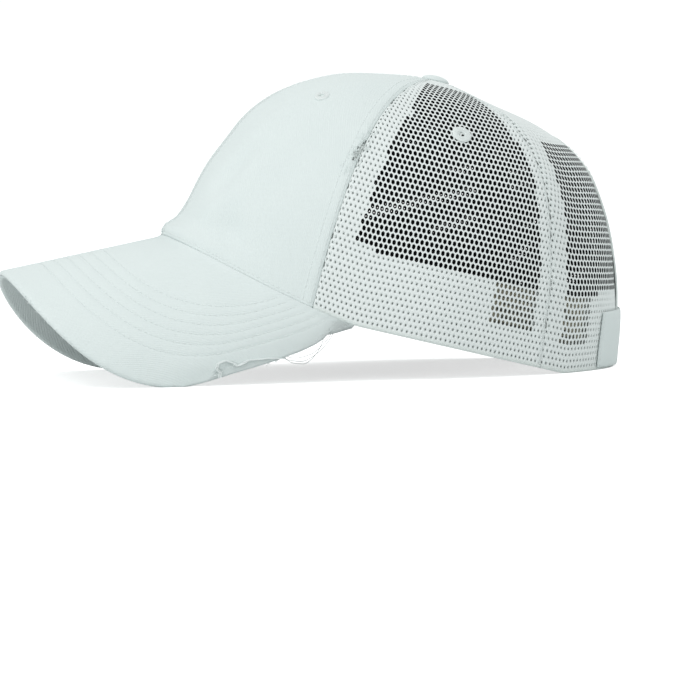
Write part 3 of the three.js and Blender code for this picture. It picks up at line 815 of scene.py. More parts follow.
@dataclass
class ClothGrid:
    """A rectangular grid of points on both faces of a cloth.

    Attributes:
        outer: Points of the outer face, as columns by rows by 3, in metres.
        inner: Points of the inner face, the same way.
        cloth: Map of the cloth, as columns by rows by 2, in metres.
    """

    outer: Array
    inner: Array
    cloth: Array


class Workshop:
    """Turns points into finished mesh objects."""

    def __init__(self, palette: Palette) -> None:
        """Makes the materials once.

        Args:
            palette: The finishes to make.
        """
        self.palette = palette
        finishes = [getattr(palette, field.name) for field in fields(palette)]
        self.materials = {finish.name: finish.build() for finish in finishes}
        self.count = 0

    def object(self, name: str, points: Array, faces: Sequence[Sequence[int]], finish: ClothFinish,
               cloth: Optional[Array] = None) -> bpy.types.Object:
        """Makes a smooth mesh object.

        Args:
            name: The object's name.
            points: Its points, in metres.
            faces: Its faces, by point number.
            finish: Its finish.
            cloth: Map place of each point, in metres.

        Returns:
            The object, linked to the scene.
        """
        mesh = bpy.data.meshes.new(name)
        mesh.from_pydata([tuple(map(float, p)) for p in points], [], [tuple(map(int, f)) for f in faces])
        if cloth is not None:
            layer = mesh.uv_layers.new(name="cloth")
            where = np.array([loop.vertex_index for loop in mesh.loops])
            layer.data.foreach_set("uv", np.asarray(cloth, float)[where].ravel())
        mesh.materials.append(self.materials[finish.name])
        mesh.polygons.foreach_set("use_smooth", [True] * len(mesh.polygons))
        mesh.update()
        made = bpy.data.objects.new(name, mesh)
        bpy.context.scene.collection.objects.link(made)
        return made

    def shell(self, name: str, grid: ClothGrid, finish: ClothFinish,
              kept: Optional[Array] = None) -> bpy.types.Object:
        """Makes a closed shell from a grid, walled in along every edge.

        Args:
            name: The object's name.
            grid: The two faces.
            finish: Its finish.
            kept: For each cell, True where there is cloth.

        Returns:
            The object.
        """
        nx, ny = grid.outer.shape[:2]
        kept = np.ones((nx - 1, ny - 1), bool) if kept is None else kept
        number = np.arange(nx * ny).reshape(nx, ny)
        faces: list[tuple[int, ...]] = []
        inside: list[float] = []
        inner = nx * ny

        def there(i: int, j: int) -> bool:
            """Returns True where a cell is in the grid and has cloth."""
            return 0 <= i < nx - 1 and 0 <= j < ny - 1 and bool(kept[i, j])

        for i, j in zip(*np.nonzero(kept)):
            ring = (number[i, j], number[i + 1, j], number[i + 1, j + 1], number[i, j + 1])
            faces.append(ring)
            faces.append(tuple(inner + k for k in reversed(ring)))
            inside += [0.0, 1.0]
            beside = (there(i, j - 1), there(i + 1, j), there(i, j + 1), there(i - 1, j))
            for k, closed in enumerate(beside):
                if not closed:
                    a, b = ring[k], ring[(k + 1) % 4]
                    faces.append((a, inner + a, inner + b, b))
                    inside.append(0.0)
        points = np.concatenate([grid.outer.reshape(-1, 3), grid.inner.reshape(-1, 3)])
        cloth = np.concatenate([grid.cloth.reshape(-1, 2)] * 2)
        used = np.unique([k for face in faces for k in face])
        renumber = np.full(len(points), -1)
        renumber[used] = np.arange(len(used))
        faces = [tuple(renumber[list(face)]) for face in faces]
        made = self.object(name, points[used], faces, finish, cloth[used])
        # The faces that look into the crown are marked inside, where the finish paints its near-black shade
        if finish.painted_inner_shade:
            made.data.attributes.new("inside", "FLOAT", "FACE").data.foreach_set("value", inside)
        self.face_out(made)
        return made

    def face_out(self, made: bpy.types.Object) -> None:
        """Turns a closed mesh the right way out, by the sign of its volume.

        Args:
            made: The object.
        """
        mesh = made.data
        mesh.calc_loop_triangles()
        corners = np.array([t.vertices for t in mesh.loop_triangles])
        points = np.array([v.co for v in mesh.vertices])
        a, b, c = points[corners[:, 0]], points[corners[:, 1]], points[corners[:, 2]]
        if np.einsum("ij,ij->i", a, np.cross(b, c)).sum() < 0:
            mesh.flip_normals()

    def tubes(self, name: str, lines: Iterable[tuple[Array, float]], finish: ClothFinish,
              sides: int = 5) -> bpy.types.Object:
        """Makes thin threads along lines, each with closed ends, as one mesh.

        Args:
            name: The object's name.
            lines: Pairs of points in metres and a radius in metres.
            finish: The finish.
            sides: Sides of each thread.

        Returns:
            The object.
        """
        points: list[Array] = []
        faces: list[tuple[int, ...]] = []
        for line, radius in lines:
            base = sum(len(p) for p in points)
            tangent = np.gradient(line, axis=0)
            tangent /= np.linalg.norm(tangent, axis=1, keepdims=True) + 1e-12
            across = np.cross(tangent, np.array([0.31, 0.52, 0.79]))
            across /= np.linalg.norm(across, axis=1, keepdims=True) + 1e-12
            over = np.cross(tangent, across)
            turn = np.arange(sides) * 2 * math.pi / sides
            ring = (line[:, None] + radius * (np.cos(turn)[None, :, None] * across[:, None]
                                              + np.sin(turn)[None, :, None] * over[:, None]))
            points.append(ring.reshape(-1, 3))
            faces += ring_faces(len(line), sides, False, base)
        return self.object(name, np.concatenate(points), faces, finish)

    def fit(self, made: bpy.types.Object, slot: str, *nodes: str) -> bpy.types.Object:
        """Hides the solids that a piece stands for, logs its slot and lets it ride with the cap.

        Args:
            made: The finished object.
            slot: The record's material slot.
            nodes: CAD nodes that it replaces.

        Returns:
            The same object.
        """
        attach(made, "root")
        if nodes:
            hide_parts(*nodes)
        self.count += 1
        LOG.info("%s fitted as %s", made.name, slot)
        return made


class Recipe:
    """A geometry node group with named inputs, run once on an object and then baked."""

    def __init__(self, name: str, sockets: dict[str, str]) -> None:
        """Makes the group and its interface.

        Args:
            name: The group's name.
            sockets: Input names and socket types.
        """
        self.tree = bpy.data.node_groups.new(name, "GeometryNodeTree")
        self.tree.is_modifier = True
        face = self.tree.interface
        face.new_socket("Geometry", in_out="INPUT", socket_type="NodeSocketGeometry")
        self.names = {key: face.new_socket(key, in_out="INPUT", socket_type=kind).identifier
                      for key, kind in sockets.items()}
        face.new_socket("Geometry", in_out="OUTPUT", socket_type="NodeSocketGeometry")
        self.graph = NodeGraph(self.tree)
        self.source = self.graph.node("NodeGroupInput")

    def value(self, name: str) -> Wire:
        """Returns a named input as a wire."""
        return self.graph.also(self.source, name)

    def close(self, geometry: Wire) -> None:
        """Realizes what is instanced, gives it the material and ends the group.

        Args:
            geometry: The geometry, as a wire.
        """
        real = self.graph.node("GeometryNodeRealizeInstances", {}, {0: geometry})
        shown = self.graph.node("GeometryNodeSetMaterial", {},
                                {"Geometry": real, "Material": self.value("Material")})
        self.graph.node("NodeGroupOutput", {}, {0: shown})

    def bake(self, made: bpy.types.Object, values: dict[str, Any]) -> bpy.types.Object:
        """Runs the group on an object and keeps the result as a plain mesh.

        Args:
            made: The object that holds the starting mesh.
            values: Values for the named inputs.

        Returns:
            The same object with its new mesh and no modifier.
        """
        modifier = made.modifiers.new(self.tree.name, "NODES")
        modifier.node_group = self.tree
        for key, value in values.items():
            modifier[self.names[key]] = value
        graph = bpy.context.evaluated_depsgraph_get()
        graph.update()
        mesh = bpy.data.meshes.new_from_object(made.evaluated_get(graph))
        made.modifiers.remove(modifier)
        made.data = mesh
        mesh.polygons.foreach_set("use_smooth", [True] * len(mesh.polygons))
        return made


class NetRecipe(Recipe):
    """Cuts a tapered hole in every cell of a mesh and gives the net its thickness.

    A hole is wide on the outer face and narrow on the inner one, as between round yarns. The face attribute
    named inner_share holds its narrow size. The walls of the holes and the inner face take the deep shade
    where the face attribute named bare is 1.
    """

    def __init__(self) -> None:
        """Builds the group."""
        super().__init__("net_holes", {"Outer share": "NodeSocketFloat", "Thickness": "NodeSocketFloat",
                                       "Material": "NodeSocketMaterial"})
        graph = self.graph
        vector = "FLOAT_VECTOR"
        position = graph.node("GeometryNodeInputPosition")
        marked = graph.node("GeometryNodeStoreNamedAttribute", {"data_type": vector, "domain": "FACE"},
                            {"Geometry": self.source, "Name": "centre", "Value": position})
        ring = graph.node("GeometryNodeExtrudeMesh", {"mode": "FACES"},
                          {"Mesh": marked, "Offset Scale": 0.0, "Individual": True})
        top = graph.also(ring, "Top")
        shrunk = graph.node("GeometryNodeScaleElements", {"domain": "FACE"},
                            {"Geometry": ring, "Selection": top, "Scale": self._read("inner_share", "FLOAT")})
        centre = self._read("centre", vector)
        away = graph.node("ShaderNodeVectorMath", {"operation": "SUBTRACT"}, {0: position, 1: centre})
        widen = self.value("Outer share") / self._read("inner_share", "FLOAT") - 1
        spread = graph.node("ShaderNodeVectorMath", {"operation": "SCALE"}, {0: away, "Scale": widen})
        noted = graph.node("GeometryNodeStoreNamedAttribute", {"data_type": vector, "domain": "POINT"},
                           {"Geometry": shrunk, "Selection": top, "Name": "spread", "Value": spread})
        open_net = graph.node("GeometryNodeDeleteGeometry", {"domain": "FACE"},
                              {"Geometry": noted, "Selection": top})
        joined = graph.node("GeometryNodeMergeByDistance", {}, {"Geometry": open_net, "Distance": 1e-6})
        raised = graph.node("GeometryNodeExtrudeMesh", {"mode": "FACES"},
                            {"Mesh": joined, "Offset Scale": self.value("Thickness"), "Individual": False})
        opened = graph.node("GeometryNodeSetPosition", {}, {
            "Geometry": raised, "Selection": graph.also(raised, "Top"),
            "Offset": self._read("spread", vector)})
        walls = self._shade(opened, graph.also(raised, "Side"))
        under = self._shade(graph.node("GeometryNodeFlipFaces", {}, {0: joined}), None)
        both = graph.node("GeometryNodeJoinGeometry", {}, {0: [walls, under]})
        whole = graph.node("GeometryNodeMergeByDistance", {}, {"Geometry": both, "Distance": 1e-6})
        for name in ("centre", "spread"):
            whole = graph.node("GeometryNodeRemoveAttribute", {}, {"Geometry": whole, "Name": name})
        self.close(whole)

    def _read(self, name: str, kind: str) -> Wire:
        """Reads a named attribute."""
        return self.graph.node("GeometryNodeInputNamedAttribute", {"data_type": kind}, {"Name": name})

    def _shade(self, geometry: Wire, chosen: Optional[Wire]) -> Wire:
        """Copies the attribute named bare to the one named inside, on the chosen faces.

        Args:
            geometry: The geometry, as a wire.
            chosen: The faces to write, or None for all of them.

        Returns:
            The geometry with the attribute, as a wire.
        """
        inputs: dict[Union[int, str], Any] = {"Geometry": geometry, "Name": "inside",
                                              "Value": self._read("bare", "FLOAT")}
        if chosen:
            inputs["Selection"] = chosen
        return self.graph.node("GeometryNodeStoreNamedAttribute",
                               {"data_type": "FLOAT", "domain": "FACE"}, inputs)


class StitchRecipe(Recipe):
    """Lays short rounded stitches along lines."""

    def __init__(self) -> None:
        """Builds the group."""
        super().__init__("stitch_run", {"Spacing": "NodeSocketFloat", "Length": "NodeSocketFloat",
                                        "Radius": "NodeSocketFloat", "Seed": "NodeSocketInt",
                                        "Material": "NodeSocketMaterial"})
        graph = self.graph
        line = graph.node("GeometryNodeMeshToCurve", {}, {0: self.source})
        even = graph.node("GeometryNodeResampleCurve", {"mode": "LENGTH"},
                          {"Curve": line, "Length": self.value("Spacing")})
        bead = graph.node("GeometryNodeMeshUVSphere", {}, {"Segments": 6, "Rings": 4, "Radius": 1.0})
        size = graph.node("ShaderNodeCombineXYZ", {}, {0: self.value("Radius"), 1: self.value("Radius"),
                                                      2: self.value("Length") * 0.5})
        tangent = graph.node("GeometryNodeInputTangent")
        facing = graph.node("FunctionNodeAlignRotationToVector", {"axis": "Z"}, {"Vector": tangent})
        jitter = graph.node("FunctionNodeRandomValue", {"data_type": "FLOAT"},
                            {2: 0.85, 3: 1.12, "Seed": self.value("Seed")}, output=1)
        scale = graph.node("ShaderNodeVectorMath", {"operation": "SCALE"}, {0: size, "Scale": jitter})
        laid = graph.node("GeometryNodeInstanceOnPoints", {},
                          {"Points": even, "Instance": bead, "Rotation": facing, "Scale": scale})
        self.close(laid)


@dataclass(frozen=True)
class PanelPlan:
    """Where one crown panel lies.

    Attributes:
        name: Node name without the side.
        start: Angle of its front seam.
        end: Angle of its back seam, or None at the ponytail opening.
        gap: Half the gap at a seam, in millimetres.
    """

    name: str
    start: float
    end: Optional[float]
    gap: float = 0.15

    def bounds(self, up: Array) -> tuple[Array, Array]:
        """Gives the angles of both edges at shares of the way up.

        Args:
            up: Shares of the way up to the apex.

        Returns:
            Angles of the front edge and of the back edge.
        """
        up = np.asarray(up, float)
        low = self.start + self.gap / SHAPE.ring_length(np.full_like(up, max(self.start, 0.05)), up)
        if self.end is None:
            return low, SHAPE.opening_angle(up)
        return low, self.end - self.gap / SHAPE.ring_length(np.full_like(up, self.end), up)

    def map(self, shares: Array, ups: Array) -> tuple[Array, Array]:
        """Spreads a grid over the panel and returns its angles and shares of the way up.

        Args:
            shares: Shares of the way across the panel.
            ups: Shares of the way up.

        Returns:
            Angles and shares of the way up.
        """
        low, high = self.bounds(ups)
        angle = low[None, :] + (high - low)[None, :] * shares[:, None]
        return angle, np.broadcast_to(ups[None, :], angle.shape)


def even_ups(count: int, low: float = 0.0, high: float = SHAPE.crown_top) -> Array:
    """Spreads shares of the way up, closer together at the hem."""
    share = np.linspace(0, 1, count)
    return low + (high - low) * (0.6 * share + 0.4 * share ** 2)


def cloth_map(angle: Array, up: Array, along: float = CLOTH_RISE) -> Array:
    """Gives the map of a cloth laid on the crown, in metres.

    Args:
        angle: Angles from the front centre, in radians.
        up: Shares of the way up to the apex.
        along: Length of cloth from hem to apex, in millimetres.

    Returns:
        Places on the cloth, in metres.
    """
    length = SHAPE.ring_length(angle, up)
    middle = angle.mean(axis=0, keepdims=True)
    return np.stack([(angle - middle) * length, up * along], -1) * MM


def crown_grid(angle: Array, up: Array, outer: Any, inner: Any) -> ClothGrid:
    """Lays both faces of a cloth at offsets from the crown."""
    wide = np.broadcast_to(angle[:, None], up.shape) if angle.ndim == 1 else angle
    return ClothGrid(SHAPE.crown_at(wide, up, outer), SHAPE.crown_at(wide, up, inner), cloth_map(wide, up))


def tape_squeeze(up: Array) -> Array:
    """Gives how much narrower a tape is as it nears the apex."""
    return np.clip((0.965 - up) / 0.28, 0.12, 1.0)


@dataclass
class TwillPanels:
    """The two cotton panels of the front, with the frayed slit at the seam.

    Attributes:
        columns: Grid columns across a panel.
        rows: Grid rows up a panel.
        thick: Thickness of the cotton, in millimetres.
    """

    columns: int = 84
    rows: int = 110
    thick: float = 0.9

    def build(self, shop: Workshop) -> None:
        """Builds both panels.

        Args:
            shop: The workshop.
        """
        plan = PanelPlan("front_panel", 0.0, SHAPE.front_seam)
        shares = 0.5 - 0.5 * np.cos(np.linspace(0, math.pi, self.columns))
        shares = 0.5 * shares + 0.5 * np.linspace(0, 1, self.columns)
        for side in Side:
            angle, up = plan.map(shares, even_ups(self.rows))
            angle = angle * side.value
            grid = crown_grid(angle, up, 0.0, -self.thick)
            kept = self._kept(angle, up) if side is Side.LEFT else None
            # The panel finish paints near-black shade on the inner face
            made = shop.shell(f"{plan.name}_{side.word}_cloth", grid, shop.palette.panel, kept)
            shop.fit(made, "washed_twill", f"{plan.name}_{side.word}")

    @staticmethod
    def _kept(angle: Array, up: Array) -> Array:
        """Leaves open the frayed slit beside the seam.

        Args:
            angle: Angles from the front centre, in radians.
            up: Shares of the way up to the apex.

        Returns:
            For each cell, True where there is cloth.
        """
        turn = np.degrees((angle[:-1, :-1] + angle[1:, 1:]) / 2)
        height = (up[:-1, :-1] + up[1:, 1:]) / 2
        half_wide, half_tall = 0.75, 0.04
        ragged = 0.25 * np.sin(height * 310) + 0.2 * np.sin(height * 730 + 1)
        away = np.abs(turn - SLIT_TURN - (height - SLIT_UP) * SLIT_LEAN + ragged)
        round_end = np.sqrt(np.clip(1 - ((height - SLIT_UP) / half_tall) ** 2, 0, 1))
        return ~(away < half_wide * round_end)


@dataclass
class NetPanels:
    """The four net panels, cell by cell.

    Attributes:
        pitch: Distance between holes along a row, in millimetres.
        row_pitch: Distance between rows, in millimetres.
        outer_share: Size of a hole as a share of its cell, on the outer face.
        inner_share: The same on the inner face.
        backed_share: The same on the inner face, in front of a band or tape.
        label_share: The same on the inner face, in front of the label.
        thick: Thickness of the net, in millimetres.
        least: Smallest trimmed cell that is kept, as a share of a whole one.
        low_limits: Shares of the way up where the side and back nets meet the backing of the apex.
    """

    pitch: float = 2.17
    row_pitch: float = 2.6
    outer_share: float = 0.715
    inner_share: float = 0.20
    backed_share: float = 0.14
    label_share: float = 0.62
    thick: float = 0.5
    least: float = 0.25
    low_limits: tuple[float, float] = (0.885, 0.70)

    def build(self, shop: Workshop, recipe: NetRecipe) -> None:
        """Builds the panels and the folded hem under each.

        Args:
            shop: The workshop.
            recipe: The node group that opens the holes.
        """
        plans = (PanelPlan("side_mesh", SHAPE.front_seam, SHAPE.back_seam),
                 PanelPlan("back_mesh", SHAPE.back_seam, None))
        for plan in plans:
            angle, up, faces = self._cells(plan)
            bare, over_label = self._backing(angle, up, faces)
            # Cells marked bare get painted near-black shade on their hole walls and inner face; over band,
            # tape and label they stay light
            inner = np.where(bare > 0, self.inner_share, self.backed_share)
            inner = np.where(over_label, self.label_share, inner)
            for side in Side:
                points = SHAPE.crown_at(angle * side.value, up, -self.thick)
                turned = faces if side is Side.LEFT else [tuple(reversed(f)) for f in faces]
                made = shop.object(f"{plan.name}_{side.word}_net", points, turned, shop.palette.net)
                for name, values in (("bare", bare), ("inner_share", inner)):
                    made.data.attributes.new(name, "FLOAT", "FACE").data.foreach_set("value", values)
                recipe.bake(made, {"Outer share": self.outer_share, "Thickness": self.thick * MM,
                                   "Material": shop.materials[shop.palette.net.name]})
                shop.fit(made, "net_mesh", f"{plan.name}_{side.word}")
                self._hem(shop, plan, side)

    def _cells(self, plan: PanelPlan) -> tuple[Array, Array, list[tuple[int, ...]]]:
        """Lays staggered six-sided cells over a panel and trims them at its edges.

        Args:
            plan: The panel.

        Returns:
            Angles and shares of the way up of the points, and the cells by point number.
        """
        ups = np.linspace(0, SHAPE.crown_top, 400)
        low, high = plan.bounds(ups)
        middle = (low[0] + (high[0] if plan.end else rad(166))) / 2
        track = SHAPE.crown(np.full_like(ups, middle), ups)
        length = np.concatenate([[0], np.cumsum(np.linalg.norm(np.diff(track, axis=0), axis=1))])
        rows = int(length[-1] / self.row_pitch) + 2
        half = int(80 / self.pitch)
        index: dict[tuple[int, int], int] = {}
        places: list[tuple[float, float]] = []
        faces: list[tuple[int, ...]] = []
        corners = ((0, -2), (1, -1), (1, 1), (0, 2), (-1, 1), (-1, -1))

        def edges(y: float) -> tuple[float, float, float, float]:
            """Reads the panel at a height along its middle line.

            Args:
                y: Height along the line, in millimetres.

            Returns:
                Share of the way up, both edges in millimetres from the line, and the ring length.
            """
            up = float(np.interp(y, length, ups))
            ring = float(SHAPE.ring_length(np.array(middle), np.array(up)))
            return up, (float(np.interp(up, ups, low)) - middle) * ring, \
                (float(np.interp(up, ups, high)) - middle) * ring, ring

        table = [edges(k * self.row_pitch / 3) for k in range(3 * rows + 6)]
        for j in range(rows):
            _, left, right, _ = table[3 * j]
            for i in range(-half, half):
                x2 = 2 * i + (j % 2)
                if not left - self.pitch * 0.3 < x2 * self.pitch / 2 < right + self.pitch * 0.3:
                    continue
                face = []
                for dx, dy in corners:
                    key = (x2 + dx, max(0, 3 * j + dy))
                    if key not in index:
                        up, start, stop, ring = table[key[1]]
                        x = min(max(key[0] * self.pitch / 2, start), stop)
                        index[key] = len(places)
                        places.append((middle + x / ring, min(up, SHAPE.crown_top)))
                    face.append(index[key])
                whole = self.least * self._area_full(table[3 * j])
                if len(set(face)) == 6 and self._area([places[k] for k in face]) > whole:
                    faces.append(tuple(face))
        used = sorted({k for face in faces for k in face})
        renumber = {old: new for new, old in enumerate(used)}
        kept = np.array([places[k] for k in used])
        return kept[:, 0], kept[:, 1], [tuple(renumber[k] for k in face) for face in faces]

    def _backing(self, angle: Array, up: Array, faces: Sequence[Sequence[int]]) -> tuple[Array, Array]:
        """Finds what lies behind each cell.

        Args:
            angle: Angles of the points.
            up: Shares of the way up of the points.
            faces: The cells, by point number.

        Returns:
            For each cell, 1 where it has no band, tape or label behind it, and whether it has the label.
        """
        middle = np.array([[angle[list(face)].mean(), up[list(face)].mean()] for face in faces])
        turn, share = middle[:, 0], middle[:, 1]
        ring = SHAPE.ring_length(turn, share)
        squeeze = tape_squeeze(share)
        height = SHAPE.crown(turn, share)[:, 2] - SHAPE.rim(turn)[:, 2]
        front = (turn - SHAPE.front_seam) * ring > FRONT_TAPE * squeeze
        back = (turn - SHAPE.back_seam) * ring
        clear = (back < -BACK_TAPE[0] * squeeze) | (back > BACK_TAPE[1] * squeeze)
        centre = (SHAPE.opening_angle(share) - turn) * ring > 5.0
        side_limit, back_limit = self.low_limits
        low = share < np.where(turn > SHAPE.back_seam, back_limit, side_limit)
        bare = ((height > BAND_HEIGHT) & front & clear & centre & low).astype(float)
        label = (turn > rad(LABEL_ENDS[0])) & (turn < rad(LABEL_ENDS[1])) & clear
        label &= (height > LABEL_FOOT) & (height < BAND_HEIGHT)
        return bare, label

    @staticmethod
    def _area(corners: Sequence[tuple[float, float]]) -> float:
        """Gives the area of a cell in its own units."""
        xs, ys = zip(*corners)
        return abs(sum(xs[k] * ys[(k + 1) % 6] - xs[(k + 1) % 6] * ys[k] for k in range(6))) / 2

    def _area_full(self, row: tuple[float, float, float, float]) -> float:
        """Gives the area of a whole cell in the same units."""
        return self.pitch / row[3] * self.row_pitch / CLOTH_RISE

    def _hem(self, shop: Workshop, plan: PanelPlan, side: Side) -> None:
        """Builds the narrow folded strip along the net's lower edge.

        Args:
            shop: The workshop.
            plan: The panel.
            side: The side of the cap.
        """
        low, high = plan.bounds(np.array([0.0]))
        angle = np.linspace(low[0], high[0], 70) * side.value
        heights = np.array([0.0, 0.3, 0.9, 1.5, 1.8])
        rounds = np.array([0.05, 0.25, 0.3, 0.2, 0.05])
        up = SHAPE.up_at_height(angle[:, None], heights[None, :])
        up[:, 0] = 0.0
        grid = crown_grid(angle, up, rounds[None, :], -self.thick - 0.2 - rounds[None, :])
        shop.fit(shop.shell(f"{plan.name}_{side.word}_hem", grid, shop.palette.tape), "net_mesh")


@dataclass
class SeamTapes:
    """Tapes sewn behind the seams, seen through the net.

    Attributes:
        thick: Thickness of a tape, in millimetres.
        out: How far its outer face lies below the crown's face.
    """

    thick: float = 0.7
    out: float = -1.3

    def build(self, shop: Workshop) -> None:
        """Builds every tape.

        Args:
            shop: The workshop.
        """
        for side in Side:
            front, back = side.value * SHAPE.front_seam, side.value * SHAPE.back_seam
            self._tape(shop, f"seam_tape_front_{side.word}", front, 8.0, FRONT_TAPE, 0.0)
            self._tape(shop, f"seam_tape_back_{side.word}", back, *BACK_TAPE, 0.0)
        self._tape(shop, "centre_tape_front", 0.0, 7.0, 7.0, 0.05)
        self._tape(shop, "centre_tape_back", math.pi, 6.5, 6.5, SHAPE.opening_top + 0.05)

    def _tape(self, shop: Workshop, node: str, seam: float, before: float, after: float,
              low: float) -> None:
        """Builds one tape from its widths before and after the seam, in millimetres.

        Args:
            shop: The workshop.
            node: The CAD node that it replaces.
            seam: Angle of the seam, in radians.
            before: Width before the seam, in millimetres.
            after: Width after the seam, in millimetres.
            low: Share of the way up where it starts.
        """
        ups = even_ups(60, low, 0.93)
        length = SHAPE.ring_length(np.full_like(ups, seam if seam else 0.05), ups)
        squeeze = tape_squeeze(ups)
        share = np.linspace(-1, 1, 11)
        wide = (np.where(share < 0, before, after) * np.abs(share) * np.sign(share))[:, None]
        way = -1.0 if seam < 0 else 1.0
        angle = seam + way * wide * squeeze[None, :] / length[None, :]
        up = np.broadcast_to(ups[None, :], angle.shape)
        grid = crown_grid(angle, up, self.out, self.out - self.thick)
        # The backing finish paints near-black shade on the tape's inner face
        shop.fit(shop.shell(f"{node}_cloth", grid, shop.palette.backing), "seam_tape", node)


@dataclass
class Sweatband:
    """The strip round the inside of the hem.

    Attributes:
        height: Height above the hem, in millimetres.
        out: How far its outer face lies below the crown's face.
        thick: Its thickness.
    """

    height: float = BAND_HEIGHT
    out: float = -4.1
    thick: float = 1.2

    def build(self, shop: Workshop) -> None:
        """Builds the band.

        Args:
            shop: The workshop.
        """
        reach = float(SHAPE.opening_angle(np.array(0.05))) - 0.06
        angle = np.linspace(-reach, reach, 240)
        heights = self.height * np.array([0.0, 0.03, 0.1, 0.27, 0.47, 0.67, 0.83, 0.93, 0.98, 1.0])
        swell = np.array([2.4, 2.0, 0.6, 0.1, 0.0, 0.0, 0.1, 0.3, 0.2, -0.2])
        up = SHAPE.up_at_height(angle[:, None], heights[None, :])
        up[:, 0] = 0.0
        grid = crown_grid(angle, up, self.out + swell[None, :], self.out - self.thick)
        shop.fit(shop.shell("sweatband_cloth", grid, shop.palette.band), "sweatband_cloth", "sweatband")


@dataclass
class Peak:
    """The two plies of the peak, rounded together at their edge.

    Attributes:
        columns: Grid columns across.
        rows: Grid rows out.
        reach: How far across it runs, as a share of the joint.
        top: Offset of the upper ply's face from the fitted surface, in millimetres, as are the next ones.
        bottom: Offset of the under ply's face.
        middle: Offset of the plane between the plies.
        gap: Half the gap between the plies.
        edge_round: How far each face turns in at the edge.
        edge_width: Width of that rounding.
        wear: Height of the ripple along the worn edge.
        root_rise: Height of the roll at the joint.
        root_width: Width of that roll.
        tear_depth: Depth of the tear.
        tear_floor: Lowest offset inside the tear.
    """

    columns: int = 300
    rows: int = 110
    reach: float = 0.985
    top: float = -0.35
    bottom: float = -3.9
    middle: float = -2.15
    gap: float = 0.08
    edge_round: float = 1.9
    edge_width: float = 2.0
    wear: float = 0.12
    root_rise: float = 0.6
    root_width: float = 1.6
    tear_depth: float = 0.75
    tear_floor: float = -1.95

    def build(self, shop: Workshop) -> None:
        """Builds both plies.

        Args:
            shop: The workshop.
        """
        across = np.linspace(-self.reach, self.reach, self.columns)
        out = 1 - np.linspace(1, 0, self.rows) ** 1.15
        wide, far = np.meshgrid(across, out, indexing="ij")
        far = far * edge_out(wide)
        depth = SHAPE.peak_depth(across)[:, None]
        inside = depth * (edge_out(wide) - far)
        turned = np.clip(1 - inside / self.edge_width, 0, 1)
        rounding = self.edge_round * (1 - np.sqrt(np.clip(1 - turned ** 2, 0, 1)))
        worn = self.wear * np.sin(wide * 140) * np.exp(-inside / 3.0)
        roll = self.root_rise * np.exp(-((depth * far / self.root_width) ** 2))
        top = self.top - rounding + worn + roll
        top = np.maximum(top - self.tear_depth * self._tear(wide, far), self.tear_floor)
        middle = np.full_like(top, self.middle)
        cloth = np.stack([wide * PEAK_CLOTH[0], far * PEAK_CLOTH[1]], -1) * MM
        upper = ClothGrid(SHAPE.peak_at(wide, far, top), SHAPE.peak_at(wide, far, middle + self.gap), cloth)
        under = ClothGrid(SHAPE.peak_at(wide, far, middle - self.gap),
                          SHAPE.peak_at(wide, far, self.bottom + rounding), cloth)
        shop.fit(shop.shell("peak_upper_cloth", upper, shop.palette.twill), "washed_twill", "peak_upper")
        shop.fit(shop.shell("peak_under_cloth", under, shop.palette.twill), "washed_twill", "peak_under")

    @staticmethod
    def _tear(across: Array, out: Array) -> Array:
        """Gives how far the worn tear near the wearer's left edge lies open, from 0 to 1.

        Args:
            across: Places across the peak, from -1 to 1.
            out: Shares of the way out from the joint to the edge.

        Returns:
            Shares of the full depth.
        """
        border = np.interp(across, TEAR[:, 0], TEAR[:, 1])
        within = (across > TEAR[0, 0]) & (across < TEAR[-1, 0])
        return np.where(within, np.clip((out - border) / 0.012, 0, 1), 0)


# Section of the folded binding, in millimetres: away from the opening's edge, and above the crown's face
BINDING_FOLD: tuple[tuple[float, float], ...] = (
    (5.0, -0.1), (4.6, 0.5), (2.5, 0.6), (0.2, 0.6), (-0.9, 0.2), (-1.1, -0.7), (-0.9, -1.5), (0.2, -2.0),
    (2.5, -2.0), (4.6, -1.9), (5.0, -1.3), (2.5, -1.2), (-0.3, -1.0), (-0.3, -0.2), (2.5, -0.1))


def level(offset: float) -> Callable[[Array], Array]:
    """Returns a face that keeps one offset from the crown all along."""
    return lambda angle: np.full_like(angle, offset)


